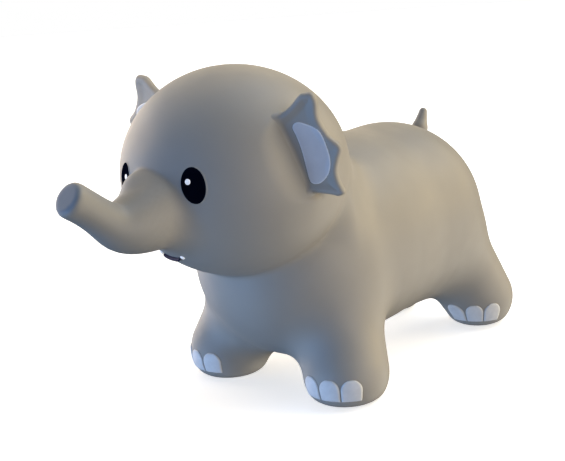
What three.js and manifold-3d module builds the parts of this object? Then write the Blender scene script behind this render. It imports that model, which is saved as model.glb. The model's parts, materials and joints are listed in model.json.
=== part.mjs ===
// Inflatable ride-on elephant: a soft hollow vinyl skin pumped up through a belly valve.
// Millimetres, +Z up, the elephant faces -Y and its left side is +X.
// Lengths along Y are measured from the middle of the head until the last step.
import * as THREE from 'three';
import { mergeVertices } from 'three/addons/utils/BufferGeometryUtils.js';
import Module from 'manifold-3d';

// Skin and clearances
const WALL = 3;              // vinyl wall of the inflated skin
const GAP = 0.3;             // room left between neighbouring pieces
const PAINT = 0.8;           // thickness of a painted film

// Head, an egg lying across the front
const HEAD_Z = 243;
const HEAD_WIDER = 1.6;      // on each side, past the widest place of the torso
const HEAD_RY = 111.5;
const HEAD_RZ = 104.5;

// Trunk, a bent taper that ends in a flat face; reaches are counted from the front of the head
const TRUNK_DEPTH = 51.5;    // how far its root lies inside the head
const TRUNK_REACH = 87;      // centre of the tip
const TRUNK_BEND_OUT = 56;   // handle of the bend next to the root
const TRUNK_BEND_IN = 34;    // handle of the bend next to the tip
const TRUNK_ROOT_Z = -7;
const TRUNK_BEND_OUT_Z = -41;
const TRUNK_BEND_IN_Z = -30.6;
const TRUNK_TIP_Z = 4;
const TRUNK_ROOT_R = 42;
const TRUNK_MID_R = 28;
const TRUNK_NECK_R = 14.6;
const TRUNK_TIP_R = 16.5;
const TRUNK_END = 9.5;       // flat end face beyond the tip centre
const TRUNK_END_ROUND = 6.2;

// Torso, three balls in a row joined to one barrel
const CHEST_Y = 84.5;
const CHEST_Z = 139.5;
const CHEST_R = 108.5;
const WAIST_Y = 158;
const WAIST_Z = 147;
const WAIST_R = 106;
const RUMP_Y = 252.5;
const RUMP_Z = 149;
const RUMP_R = 110;
const BARREL_BLEND = 20;

// Legs, short stubs that flow out of the torso
const FRONT_HIP_X = 43;
const FRONT_HIP_Y = 87;
const FRONT_HIP_Z = 123.5;
const FRONT_HIP_R = 46.5;
const FRONT_FOOT_X = 82;
const FRONT_FOOT_Y = 55;
const FRONT_FOOT_Z = 30;
const FRONT_FOOT_R = 44.5;
const REAR_HIP_X = 48;
const REAR_HIP_Y = 300;
const REAR_HIP_Z = 109.5;
const REAR_HIP_R = 48.5;
const REAR_FOOT_X = 65;
const REAR_FOOT_Y = 342.5;
const REAR_FOOT_Z = 35.5;
const REAR_FOOT_R = 43;
const LEG_BLEND = 27;
const SOLE_ROUND = 12;
const SOLE_TRIM = 2;         // the sole is pressed truly flat this far up
const FRONT_MARGIN = 3;      // the front leg begins this far outside the barrel
const REAR_MARGIN = 10;

// Ears, flaps that stand on a straight root along the side of the head
const EAR_TOP_SWING = 17.5;  // degrees from straight sideways toward the front
const EAR_TOP_RISE = 34;     // degrees above the middle of the head
const EAR_LOW_SWING = 5.7;   // degrees
const EAR_LOW_RISE = -9.7;   // degrees
const EAR_FACE_TURN = 20.6;  // degrees the flap looks outward from straight ahead
const EAR_FRONT = 6.5;       // front face ahead of the root line
const EAR_BACK = 4.5;
const EAR_ROUND = 3.2;
const EAR_TIP = 37.5;        // reach of the top corner
const EAR_LOBE = 41.2;       // reach of the middle lobe
const EAR_HEM = 27.2;        // reach of the bottom corner
const EAR_ROOT_IN = 26;      // the flap starts this far inside the root line
const EAR_RIGHT_TOP_SWING = 9.8;  // degrees; the right ear stands higher and looks a little inward
const EAR_RIGHT_TOP_RISE = 45;    // degrees
const EAR_RIGHT_LOW_SWING = -0.2; // degrees
const EAR_RIGHT_LOW_RISE = 1.3;   // degrees
const EAR_RIGHT_FACE_TURN = -7;   // degrees
const EAR_RIGHT_IN = 0.6;    // set this far into the head, so that both ears reach equally wide
const EAR_FLEX = 14;         // degrees each way

// Tail, a small upright leaf
const TAIL_TILT = 40;        // degrees back from straight up, seen from the rump centre
const TAIL_LEAN = 25.5;      // degrees the leaf itself leans back
const TAIL_LENGTH = 37;
const TAIL_R = 8.6;
const TAIL_FLEX = 18;        // degrees each way

// Face
const EYE_X = 46.5;
const EYE_RISE = 4.5;        // above the middle of the head
const EYE_W = 11.6;
const EYE_H = 16.5;
const EYE_LEAN = 8;          // degrees, tops lean together
const GLINT_R = 2.8;
const GLINT_IN = 4.4;
const GLINT_UP = 4.2;
const GLINT_T = 0.5;
const MOUTH_X = -16;         // a little to the right side
const MOUTH_DROP = 71.5;      // below the middle of the head
const MOUTH_W = 15;
const MOUTH_H = 6;
const MOUTH_SAG = 0.25;      // share of that height by which the upper edge hangs in the middle
const DOT_ROOM = 1;          // between the lip's end and its dot
const LIP = 1.6;
const DOT_R = 2.6;

// Toenails
const NAIL_W = 11.4;
const NAIL_LOW = 12;
const NAIL_TOP = 36;
const NAIL_THICK = 1.4;
const NAIL_STEP = 30;        // degrees from nail to nail
const FRONT_TOE_OUT = 15;
const REAR_TOE_OUT = 26;

// Valve and plug under the belly
const VALVE_Y = 175;
const FLANGE_R = 13;
const FLANGE_T = 1.6;
const SLEEVE_R = 8;
const SLEEVE_LENGTH = 15;
const BORE_R = 4.5;
const PLUG_HEAD_R = 8;
const PLUG_HEAD_T = 2.4;
const PLUG_LENGTH = 13;

// Facets
const SKIN_CELL = 16;
const HEAD_FACETS = 6;
const LINING_FACETS = 5;     // of the head's inside
const FILM_FACETS = 9;       // of the head under a painted film
const TRUNK_RINGS = 12;
const TRUNK_SIDES = 20;
const BORE_RINGS = 10;       // of the trunk's inside
const BORE_SIDES = 16;
const EAR_POINTS = 44;
const PATCH_POINTS = 33;
const EYE_SIDES = 28;
const DOT_SIDES = 14;
const LIP_STEPS = 6;         // on each half of the lip
const NAIL_STEPS = 8;        // round the top of a nail
const TAIL_SIDES = 14;
const VALVE_SIDES = 20;
const PLUG_SIDES = 18;

const wasm = await Module();
wasm.setup();
const V = (x, y, z) => new THREE.Vector3(x, y, z);
const rad = THREE.MathUtils.degToRad;

// Closed solids from three.js geometry and back
function solid(geometry) {
  const g = geometry.clone();
  for (const name of Object.keys(g.attributes)) if (name !== 'position') g.deleteAttribute(name);
  const m = mergeVertices(g, 1e-4);
  return new wasm.Manifold(new wasm.Mesh({
    numProp: 3,
    vertProperties: new Float32Array(m.attributes.position.array),
    triVerts: new Uint32Array(m.index.array),
  }));
}
function indexed(points, faces) {
  const g = new THREE.BufferGeometry();
  g.setAttribute('position', new THREE.Float32BufferAttribute(points, 3));
  g.setIndex(faces);
  return g;
}
function geometryOf(body) {
  const m = body.getMesh();
  return indexed(Array.from(m.vertProperties), Array.from(m.triVerts));
}
function moved(body, matrix) {
  const g = geometryOf(body).applyMatrix4(matrix);
  if (matrix.determinant() < 0) g.index.array.reverse();
  return solid(g);
}
const mirrored = (body) => moved(body, new THREE.Matrix4().makeScale(-1, 1, 1));

// Distance fields of the rounded forms
function smoothMin(a, b, k) {
  const h = Math.max(k - Math.abs(a - b), 0) / k;
  return Math.min(a, b) - h * h * k / 4;
}
function taper(ax, ay, az, ar, bx, by, bz, br) {
  const dx = bx - ax, dy = by - ay, dz = bz - az;
  const l2 = dx * dx + dy * dy + dz * dz, rr = ar - br, a2 = l2 - rr * rr, il2 = 1 / l2;
  return (x, y, z) => {
    const px = x - ax, py = y - ay, pz = z - az;
    const s = px * dx + py * dy + pz * dz, e = s - l2;
    const qx = px * l2 - dx * s, qy = py * l2 - dy * s, qz = pz * l2 - dz * s;
    const x2 = qx * qx + qy * qy + qz * qz, y2 = s * s * l2, z2 = e * e * l2;
    const k = Math.sign(rr) * rr * rr * x2;
    if (Math.sign(e) * a2 * z2 > k) return Math.sqrt(x2 + z2) * il2 - br;
    if (Math.sign(s) * a2 * y2 < k) return Math.sqrt(x2 + y2) * il2 - ar;
    return (Math.sqrt(x2 * a2 * il2) + s * rr) * il2 - ar;
  };
}
const barrelFront = taper(0, CHEST_Y, CHEST_Z, CHEST_R, 0, WAIST_Y, WAIST_Z, WAIST_R);
const barrelRear = taper(0, WAIST_Y, WAIST_Z, WAIST_R, 0, RUMP_Y, RUMP_Z, RUMP_R);
const frontLeg = taper(FRONT_HIP_X, FRONT_HIP_Y, FRONT_HIP_Z, FRONT_HIP_R,
  FRONT_FOOT_X, FRONT_FOOT_Y, FRONT_FOOT_Z, FRONT_FOOT_R);
const rearLeg = taper(REAR_HIP_X, REAR_HIP_Y, REAR_HIP_Z, REAR_HIP_R,
  REAR_FOOT_X, REAR_FOOT_Y, REAR_FOOT_Z, REAR_FOOT_R);
function bodyField(x, y, z) {
  const ax = Math.abs(x);
  const barrel = smoothMin(barrelFront(x, y, z), barrelRear(x, y, z), BARREL_BLEND);
  const front = smoothMin(frontLeg(ax, y, z), frontLeg(-ax, y, z), LEG_BLEND);
  const rear = smoothMin(rearLeg(ax, y, z), rearLeg(-ax, y, z), LEG_BLEND);
  const all = smoothMin(smoothMin(barrel, front, LEG_BLEND), rear, LEG_BLEND);
  return -smoothMin(-all, z, SOLE_ROUND);
}
function slope(field, p) {
  const h = 0.05;
  return V(field(p.x + h, p.y, p.z) - field(p.x - h, p.y, p.z),
    field(p.x, p.y + h, p.z) - field(p.x, p.y - h, p.z),
    field(p.x, p.y, p.z + h) - field(p.x, p.y, p.z - h)).divideScalar(2 * h);
}

// Skin of a field: one point per cell that the surface crosses, pulled onto the surface
function fieldSkin(field, cell) {
  const half = Math.max(FRONT_FOOT_X + FRONT_FOOT_R, REAR_FOOT_X + REAR_FOOT_R, CHEST_R, WAIST_R, RUMP_R);
  const nx = 2 * Math.ceil((half + cell) / cell);
  const lo = [-nx / 2 * cell, Math.min(CHEST_Y - CHEST_R, FRONT_FOOT_Y - FRONT_FOOT_R) - cell, -1.5 * cell];
  const top = Math.max(CHEST_Z + CHEST_R, WAIST_Z + WAIST_R, RUMP_Z + RUMP_R);
  const end = Math.max(RUMP_Y + RUMP_R, REAR_FOOT_Y + REAR_FOOT_R);
  const n = [nx + 1, Math.ceil((end - lo[1]) / cell) + 2, Math.ceil((top - lo[2]) / cell) + 2];
  const at = (c) => (c[2] * n[1] + c[1]) * n[0] + c[0];
  const place = (c) => V(lo[0] + c[0] * cell, lo[1] + c[1] * cell, lo[2] + c[2] * cell);
  const f = (p) => field(p.x, p.y, p.z);
  const value = new Float64Array(n[0] * n[1] * n[2]);
  const c = [0, 0, 0];
  const cells = (step, visit) => {
    for (c[2] = 0; c[2] < n[2] - step; c[2]++)
      for (c[1] = 0; c[1] < n[1] - step; c[1]++)
        for (c[0] = 0; c[0] < n[0] - step; c[0]++) visit();
  };
  cells(0, () => { value[at(c)] = f(place(c)); });
  const id = new Int32Array(value.length).fill(-1), points = [], faces = [];
  const corner = (b) => [c[0] + (b & 1), c[1] + ((b >> 1) & 1), c[2] + ((b >> 2) & 1)];
  cells(1, () => {
    const sum = V(0, 0, 0);
    let hits = 0;
    for (let b = 0; b < 8; b++) for (const d of [1, 2, 4]) {
      if (b & d) continue;
      const p = corner(b), q = corner(b | d), vp = value[at(p)], vq = value[at(q)];
      if ((vp < 0) === (vq < 0)) continue;
      sum.add(place(p).lerp(place(q), vp / (vp - vq)));
      hits++;
    }
    if (!hits) return;
    const p = sum.divideScalar(hits);
    for (let k = 0; k < 6; k++) {
      const g = slope(field, p);
      p.addScaledVector(g, -THREE.MathUtils.clamp(f(p) / g.lengthSq(), -cell / 2, cell / 2));
    }
    id[at(c)] = points.length / 3;
    points.push(p.x, p.y, p.z);
  });
  const away = (i, j) => Math.hypot(points[3 * i] - points[3 * j], points[3 * i + 1] - points[3 * j + 1],
    points[3 * i + 2] - points[3 * j + 2]);
  cells(1, () => {
    for (let a = 0; a < 3; a++) {
      const b = (a + 1) % 3, e = (a + 2) % 3;
      if (!c[b] || !c[e]) continue;
      const next = [...c];
      next[a]++;
      const inside = value[at(c)] < 0;
      if (inside === value[at(next)] < 0) continue;
      const quad = [[-1, -1], [0, -1], [0, 0], [-1, 0]].map(([u, v]) => {
        const q = [...c];
        q[b] += u;
        q[e] += v;
        return id[at(q)];
      });
      const [p, q, r, s] = inside ? quad : quad.reverse();
      if (away(p, r) < away(q, s)) faces.push(p, q, r, p, r, s);
      else faces.push(p, q, s, q, r, s);
    }
  });
  return { points, faces };
}
function swollen(skin, field, by) {
  const out = [];
  for (let i = 0; i < skin.points.length; i += 3) {
    const p = V(skin.points[i], skin.points[i + 1], skin.points[i + 2]);
    p.addScaledVector(slope(field, p).normalize(), by);
    out.push(p.x, p.y, p.z);
  }
  return solid(indexed(out, skin.faces));
}

// Egg, tube along the trunk, half space and prism
function headEgg(by, detail) {
  const g = new THREE.IcosahedronGeometry(1, detail);
  g.scale(HEAD_RX + by, HEAD_RY + by, HEAD_RZ + by);
  g.translate(0, 0, HEAD_Z);
  return solid(g);
}
function rings(list, around) {
  const points = [], faces = [];
  for (const { centre, u, v, r } of list) for (let i = 0; i < around; i++) {
    const a = 2 * Math.PI * i / around;
    const p = centre.clone().addScaledVector(u, r * Math.cos(a)).addScaledVector(v, r * Math.sin(a));
    points.push(p.x, p.y, p.z);
  }
  const last = list.length - 1;
  for (let k = 0; k < last; k++) for (let i = 0; i < around; i++) {
    const j = (i + 1) % around, a = k * around, b = a + around;
    faces.push(a + i, a + j, b + j, a + i, b + j, b + i);
  }
  for (const [k, flip] of [[0, true], [last, false]]) {
    const m = points.length / 3, c = list[k].centre;
    points.push(c.x, c.y, c.z);
    for (let i = 0; i < around; i++) {
      const p = k * around + i, q = k * around + (i + 1) % around;
      if (flip) faces.push(m, q, p); else faces.push(m, p, q);
    }
  }
  return solid(indexed(points, faces));
}
const trunkPath = new THREE.CubicBezierCurve3(
  V(0, -HEAD_RY + TRUNK_DEPTH, HEAD_Z + TRUNK_ROOT_Z),
  V(0, -HEAD_RY - TRUNK_BEND_OUT, HEAD_Z + TRUNK_BEND_OUT_Z),
  V(0, -HEAD_RY - TRUNK_BEND_IN, HEAD_Z + TRUNK_BEND_IN_Z),
  V(0, -HEAD_RY - TRUNK_REACH, HEAD_Z + TRUNK_TIP_Z));
function trunkTube(thinner, steps, around) {
  const radius = (t) => (1 - t) ** 3 * TRUNK_ROOT_R + 3 * (1 - t) ** 2 * t * TRUNK_MID_R
    + 3 * (1 - t) * t * t * TRUNK_NECK_R + t ** 3 * TRUNK_TIP_R - thinner;
  const list = [];
  const ring = (centre, along, r) => {
    const u = V(1, 0, 0);
    list.push({ centre, u, v: along.clone().cross(u), r });
  };
  for (let i = 0; i <= steps; i++) {
    const t = i / steps;
    ring(trunkPath.getPoint(t), trunkPath.getTangent(t), radius(t));
  }
  const tip = trunkPath.getPoint(1), along = trunkPath.getTangent(1), r = radius(1);
  const round = Math.max(TRUNK_END_ROUND - thinner, 1);
  for (const a of [0, 30, 60, 90]) {
    const e = TRUNK_END - thinner - round + round * Math.sin(rad(a));
    ring(tip.clone().addScaledVector(along, e), along, r - round + round * Math.cos(rad(a)));
  }
  return rings(list, around);
}
function prism(outline, from, to, matrix) {
  const shape = new THREE.Shape(outline.map(([x, y]) => new THREE.Vector2(x, y)));
  const g = new THREE.ExtrudeGeometry(shape, { depth: to - from, bevelEnabled: false, curveSegments: 1 });
  g.translate(0, 0, from);
  g.applyMatrix4(matrix);
  return solid(g);
}
function frame(x, y, z, origin) {
  return new THREE.Matrix4().makeBasis(x, y, z).setPosition(origin);
}
const ellipse = (w, h, n) => Array.from({ length: n }, (_, i) => {
  const a = 2 * Math.PI * i / n;
  return [w * Math.cos(a), h * Math.sin(a)];
});
const smoothed = (points, n) => new THREE.SplineCurve([...points, points[0]].map(([x, y]) =>
  new THREE.Vector2(x, y))).getPoints(n).slice(0, -1).map((p) => [p.x, p.y]);

// Skin of torso and legs
const skin = fieldSkin(bodyField, SKIN_CELL);
const bodySolid = solid(indexed(skin.points, skin.faces));
const bodyInside = swollen(skin, bodyField, -WALL);
const bodyAround = swollen(skin, bodyField, GAP);
const FAR = 2000;
const floorBlock = solid(new THREE.BoxGeometry(FAR, FAR, FAR).translate(0, 0, SOLE_TRIM - FAR / 2));
const bodyShell = bodySolid.subtract(bodyInside).subtract(floorBlock);

// Each leg is cut off square to its own axis, just outside the barrel
const balls = [[CHEST_Y, CHEST_Z, CHEST_R], [WAIST_Y, WAIST_Z, WAIST_R], [RUMP_Y, RUMP_Z, RUMP_R]];
function legBlock(hip, foot, margin) {
  const d = foot.clone().sub(hip).normalize();
  const reach = Math.max(...balls.map(([y, z, r]) => d.y * y + d.z * z + r)) + margin;
  const side = d.clone().cross(V(0, 1, 0)).normalize();
  const m = frame(side, d.clone().cross(side), d, d.clone().multiplyScalar(reach));
  const block = new THREE.BoxGeometry(FAR, FAR, FAR).translate(0, 0, FAR / 2).applyMatrix4(m);
  return solid(block).intersect(solid(new THREE.BoxGeometry(FAR, FAR, FAR).translate(FAR / 2, 0, 0)));
}
const frontHip = V(FRONT_HIP_X, FRONT_HIP_Y, FRONT_HIP_Z);
const frontFoot = V(FRONT_FOOT_X, FRONT_FOOT_Y, FRONT_FOOT_Z);
const rearHip = V(REAR_HIP_X, REAR_HIP_Y, REAR_HIP_Z);
const rearFoot = V(REAR_FOOT_X, REAR_FOOT_Y, REAR_FOOT_Z);
const legFront = bodyShell.intersect(legBlock(frontHip, frontFoot, FRONT_MARGIN));
const legRear = bodyShell.intersect(legBlock(rearHip, rearFoot, REAR_MARGIN));
const frontRoom = legBlock(frontHip, frontFoot, FRONT_MARGIN - GAP);
const rearRoom = legBlock(rearHip, rearFoot, REAR_MARGIN - GAP);
const barrelShell = bodyShell.subtract(frontRoom).subtract(mirrored(frontRoom)).subtract(rearRoom)
  .subtract(mirrored(rearRoom));

// Head with its neck and trunk openings, and the trunk
const HEAD_RX = HEAD_WIDER + new THREE.Box3()
  .setFromBufferAttribute(geometryOf(barrelShell).attributes.position).max.x;
const headSolid = headEgg(0, HEAD_FACETS);
const headAround = headEgg(GAP, HEAD_FACETS);
const trunkBore = trunkTube(WALL, BORE_RINGS, BORE_SIDES);
const headSkin = headSolid.subtract(headEgg(-WALL, LINING_FACETS)).subtract(bodyInside).subtract(trunkBore);
const trunk = trunkTube(0, TRUNK_RINGS, TRUNK_SIDES).subtract(trunkBore).subtract(headAround);

// Clears a body from what it would run into when it rocks about a hinge line
function turned(body, pivot, axis, degrees) {
  const m = new THREE.Matrix4().makeTranslation(pivot.x, pivot.y, pivot.z)
    .multiply(new THREE.Matrix4().makeRotationAxis(axis, rad(degrees)))
    .multiply(new THREE.Matrix4().makeTranslation(-pivot.x, -pivot.y, -pivot.z));
  return moved(body, m);
}
function rockClear(body, neighbour, pivot, axis, flex) {
  let out = body;
  for (const k of [-1, -0.5, 0, 0.5, 1]) out = out.subtract(turned(neighbour, pivot, axis, k * flex));
  return out;
}
// Ears, in their own axes: x down the root, y outward, z out of the front face
const onHead = (swing, rise) => V(HEAD_RX * Math.cos(rad(swing)) * Math.cos(rad(rise)),
  -HEAD_RY * Math.sin(rad(swing)) * Math.cos(rad(rise)), HEAD_Z + HEAD_RZ * Math.sin(rad(rise)));
function ear(top, low, faceTurn) {
  const length = top.distanceTo(low), down = low.clone().sub(top).normalize();
  const face = V(Math.sin(rad(faceTurn)), -Math.cos(rad(faceTurn)), 0);
  face.addScaledVector(down, -face.dot(down)).normalize();
  const placed = frame(down, face.clone().cross(down), face, top);
  // Outlines: share of the root's length, then reach
  const alongRoot = ([share, reach]) => [share * length, reach];
  const outline = smoothed([[0.025, -EAR_ROOT_IN], [-0.037, 0], [-0.075, 0.32 * EAR_TIP],
    [-0.148, 0.64 * EAR_TIP], [-0.138, 0.83 * EAR_TIP], [-0.117, 0.95 * EAR_TIP], [-0.062, EAR_TIP],
    [0.025, 0.98 * EAR_TIP], [0.175, 0.8 * EAR_LOBE], [0.39, 0.85 * EAR_LOBE], [0.56, EAR_LOBE],
    [0.68, 0.85 * EAR_LOBE], [0.795, 1.06 * EAR_HEM], [0.925, 0.99 * EAR_HEM], [1.055, EAR_HEM],
    [1.075, 0.75 * EAR_HEM], [1.035, 0.55 * EAR_HEM], [0.965, 0.15 * EAR_HEM], [0.915, -EAR_ROOT_IN]]
    .map(alongRoot), EAR_POINTS);
  const patchOutline = smoothed([[0.165, 0.14 * EAR_LOBE], [0.125, 0.22 * EAR_LOBE], [0.17, 0.46 * EAR_LOBE],
    [0.31, 0.7 * EAR_LOBE], [0.52, 0.7 * EAR_LOBE], [0.72, 0.6 * EAR_LOBE], [0.84, 0.34 * EAR_LOBE],
    [0.85, 0.13 * EAR_LOBE], [0.79, 0.02 * EAR_LOBE], [0.615, 0.06 * EAR_LOBE], [0.43, 0.12 * EAR_LOBE]]
    .map(alongRoot), PATCH_POINTS);
  const shape = new THREE.Shape(outline.map(([x, y]) => new THREE.Vector2(x, y)));
  const flap = solid(new THREE.ExtrudeGeometry(shape, { depth: EAR_FRONT + EAR_BACK - 2 * EAR_ROUND,
    bevelEnabled: true, bevelThickness: EAR_ROUND, bevelSize: EAR_ROUND, bevelOffset: -EAR_ROUND,
    bevelSegments: 2, curveSegments: 1 }).translate(0, 0, EAR_ROUND - EAR_BACK).applyMatrix4(placed));
  const patch = prism(patchOutline, EAR_FRONT + GAP, EAR_FRONT + GAP + PAINT, placed);
  const pivot = top.clone().lerp(low, 0.5);
  return [flap, patch].map((body) => rockClear(body, headAround, pivot, down, EAR_FLEX));
}
const [earLeft, patchLeft] = ear(onHead(EAR_TOP_SWING, EAR_TOP_RISE), onHead(EAR_LOW_SWING, EAR_LOW_RISE),
  EAR_FACE_TURN);
const setIn = V(-EAR_RIGHT_IN, 0, 0);
const [earRight, patchRight] = ear(onHead(EAR_RIGHT_TOP_SWING, EAR_RIGHT_TOP_RISE).add(setIn),
  onHead(EAR_RIGHT_LOW_SWING, EAR_RIGHT_LOW_RISE).add(setIn), EAR_RIGHT_FACE_TURN).map(mirrored);

// Tail leaf on the rump
function onBody(from, direction) {
  const p = from.clone();
  for (let k = 0; k < 400; k++) {
    const d = bodyField(p.x, p.y, p.z);
    if (d > -0.02) break;
    p.addScaledVector(direction, Math.max(-d * 0.6, 0.02));
  }
  return p;
}
const tailBase = onBody(V(0, RUMP_Y, RUMP_Z), V(0, Math.sin(rad(TAIL_TILT)), Math.cos(rad(TAIL_TILT))));
const tailAlong = V(0, Math.sin(rad(TAIL_LEAN)), Math.cos(rad(TAIL_LEAN)));
const tailShape = [[-0.25, 0.75], [0, 0.95], [0.25, 1], [0.5, 0.94], [0.72, 0.78], [0.88, 0.56], [1, 0.15]];
const tailLeaf = rings(tailShape.map(([s, r]) => ({
  centre: tailBase.clone().addScaledVector(tailAlong, s * TAIL_LENGTH),
  u: V(1, 0, 0), v: tailAlong.clone().cross(V(1, 0, 0)), r: r * TAIL_R })), TAIL_SIDES);
const tail = rockClear(tailLeaf, bodyAround, tailBase, V(1, 0, 0), TAIL_FLEX);

// Painted films on the head
function filmOnHead(outline, matrix, low, high) {
  return prism(outline, -HEAD_RZ, HEAD_RZ, matrix).intersect(headEgg(high, FILM_FACETS))
    .subtract(headEgg(low, FILM_FACETS));
}
function faceFrame(x, z, turn) {
  const k = 1 - (x / HEAD_RX) ** 2 - (z / HEAD_RZ) ** 2;
  const p = V(x, -HEAD_RY * Math.sqrt(Math.max(k, 0.05)), HEAD_Z + z);
  const out = V(p.x / HEAD_RX ** 2, p.y / HEAD_RY ** 2, z / HEAD_RZ ** 2).normalize();
  const right = V(0, 0, 1).cross(out).normalize();
  const up = out.clone().cross(right);
  const m = frame(right, up, out, p);
  return m.multiply(new THREE.Matrix4().makeRotationZ(rad(turn)));
}
const eyeFrame = faceFrame(EYE_X, EYE_RISE, EYE_LEAN);
const eyeLeft = filmOnHead(ellipse(EYE_W, EYE_H, EYE_SIDES), eyeFrame, GAP, GAP + PAINT);
const glintFrame = eyeFrame.clone().multiply(new THREE.Matrix4().makeTranslation(-GLINT_IN, GLINT_UP, 0));
const glintLow = 2 * GAP + PAINT;
const glintLeft = filmOnHead(ellipse(GLINT_R, GLINT_R, DOT_SIDES), glintFrame, glintLow, glintLow + GLINT_T);
const mouthFrame = faceFrame(MOUTH_X, -MOUTH_DROP, 0);
const smile = [];
for (let i = 0; i <= 2 * LIP_STEPS; i++) {
  const s = i / LIP_STEPS - 1;
  smile.push([s * MOUTH_W, MOUTH_H * (s ** 4 - 1)]);
}
for (let i = 2 * LIP_STEPS - 1; i > 0; i--) {
  const s = i / LIP_STEPS - 1;
  smile.push([s * MOUTH_W, MOUTH_SAG * MOUTH_H * (s * s - 1)]);
}
const mouth = filmOnHead(smile, mouthFrame, GAP, GAP + LIP);
function mouthDot(side) {
  const beside = new THREE.Matrix4().makeTranslation(side * (MOUTH_W + DOT_R + DOT_ROOM), 0, 0);
  return filmOnHead(ellipse(DOT_R, DOT_R, DOT_SIDES), mouthFrame.clone().multiply(beside), GAP, GAP + LIP);
}

// Toenails, three on each foot
const nailOutline = [[-0.92 * NAIL_W, NAIL_LOW], [0.92 * NAIL_W, NAIL_LOW]];
const shoulder = NAIL_TOP - 0.95 * NAIL_W;
for (let i = 0; i <= NAIL_STEPS; i++) {
  const a = Math.PI * i / NAIL_STEPS;
  nailOutline.push([NAIL_W * Math.cos(a), shoulder + (NAIL_TOP - shoulder) * Math.sin(a)]);
}
const nailOuter = swollen(skin, bodyField, GAP + NAIL_THICK);
function nail(foot, degrees) {
  const out = V(Math.sin(rad(degrees)), -Math.cos(rad(degrees)), 0);
  const side = V(Math.cos(rad(degrees)), Math.sin(rad(degrees)), 0);
  const m = frame(side, V(0, 0, 1), out, V(foot.x, foot.y, 0));
  const half = rad(NAIL_STEP / 2), apex = GAP / Math.sin(half), far = 2 * Math.max(FRONT_FOOT_R, REAR_FOOT_R);
  const wedge = prism([[0, apex], [far * Math.tan(half), far + apex], [-far * Math.tan(half), far + apex]],
    -far, 0, frame(side, out, V(0, 0, -1), V(foot.x, foot.y, 0)));
  return prism(nailOutline, 0, far, m).intersect(wedge).intersect(nailOuter).subtract(bodyAround);
}

// Valve seat pressed into the belly, and its plug
const belly = onBody(V(0, VALVE_Y, WAIST_Z), V(0, 0, -1));
const turnedPart = (profile, n) => solid(new THREE.LatheGeometry(profile.map(([r, h]) =>
  new THREE.Vector2(r, h)), n).rotateX(Math.PI / 2).translate(0, belly.y, belly.z));
const seatRoom = turnedPart([[0, -8], [SLEEVE_R + GAP, -8], [SLEEVE_R + GAP, SLEEVE_LENGTH + 9],
  [0, SLEEVE_LENGTH + 9]], VALVE_SIDES);
const seatBlank = turnedPart([[BORE_R, -FLANGE_T - GAP], [FLANGE_R, -FLANGE_T - GAP], [FLANGE_R, 4],
  [SLEEVE_R, 4], [SLEEVE_R, SLEEVE_LENGTH], [BORE_R, SLEEVE_LENGTH], [BORE_R, -FLANGE_T - GAP]], VALVE_SIDES);
const torso = barrelShell.subtract(headAround).subtract(seatRoom);
const seatClear = bodyAround.subtract(seatRoom);
const valveSeat = seatBlank.subtract(seatClear);
const under = -FLANGE_T - 2 * GAP;
const plug = turnedPart([[0, under - PLUG_HEAD_T], [PLUG_HEAD_R - 1, under - PLUG_HEAD_T],
  [PLUG_HEAD_R, under - PLUG_HEAD_T + 1], [PLUG_HEAD_R, under], [BORE_R - GAP, under],
  [BORE_R - GAP, 0.55 * PLUG_LENGTH], [BORE_R - GAP - 1, PLUG_LENGTH], [0, PLUG_LENGTH]], PLUG_SIDES);

// Assembly: each moving body is a group, and the whole stands on the floor about its own middle
const GREY = 0x97938c;
const PALE = 0xb3b6c2;
const WHITE = 0xe3e4e6;
const NAVY = 0x1c2240;
const BLACK = 0x06070f;
const IVORY = 0xd9d8d3;
const elephant = new THREE.Group();
elephant.name = 'elephant_hopper';
function bodyGroup(name) {
  const group = new THREE.Group();
  group.name = name;
  elephant.add(group);
  return group;
}
function piece(group, name, body, color, roughness) {
  const g = geometryOf(body);
  g.computeVertexNormals();
  const mesh = new THREE.Mesh(g, new THREE.MeshStandardMaterial({ color, roughness, metalness: 0 }));
  mesh.name = name;
  group.add(mesh);
}
const feet = bodyGroup('feet');
for (const [side, turn] of [['left', (b) => b], ['right', mirrored]]) {
  piece(feet, `leg_front_${side}`, turn(legFront), GREY, 0.5);
  piece(feet, `leg_rear_${side}`, turn(legRear), GREY, 0.5);
  for (const [end, foot, out] of [['front', frontFoot, FRONT_TOE_OUT], ['rear', rearFoot, REAR_TOE_OUT]])
    for (const [toe, k] of [['inner', -1], ['middle', 0], ['outer', 1]])
      piece(feet, `nail_${end}_${side}_${toe}`, turn(nail(foot, out + k * NAIL_STEP)), WHITE, 0.4);
}
const trunkAndBody = bodyGroup('body');
piece(trunkAndBody, 'torso_skin', torso, GREY, 0.5);
piece(trunkAndBody, 'head_skin', headSkin, GREY, 0.5);
piece(trunkAndBody, 'trunk_skin', trunk, GREY, 0.5);
piece(trunkAndBody, 'eye_left', eyeLeft, BLACK, 0.3);
piece(trunkAndBody, 'eye_right', mirrored(eyeLeft), BLACK, 0.3);
piece(trunkAndBody, 'eye_glint_left', glintLeft, WHITE, 0.3);
piece(trunkAndBody, 'eye_glint_right', mirrored(glintLeft), WHITE, 0.3);
piece(trunkAndBody, 'mouth', mouth, NAVY, 0.4);
piece(trunkAndBody, 'mouth_dot_left', mouthDot(1), WHITE, 0.4);
piece(trunkAndBody, 'mouth_dot_right', mouthDot(-1), WHITE, 0.4);
piece(trunkAndBody, 'valve_seat', valveSeat, GREY, 0.45);
const leftFlap = bodyGroup('left_ear');
piece(leftFlap, 'ear_left', earLeft, GREY, 0.5);
piece(leftFlap, 'ear_patch_left', patchLeft, PALE, 0.55);
const rightFlap = bodyGroup('right_ear');
piece(rightFlap, 'ear_right', earRight, GREY, 0.5);
piece(rightFlap, 'ear_patch_right', patchRight, PALE, 0.55);
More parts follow.
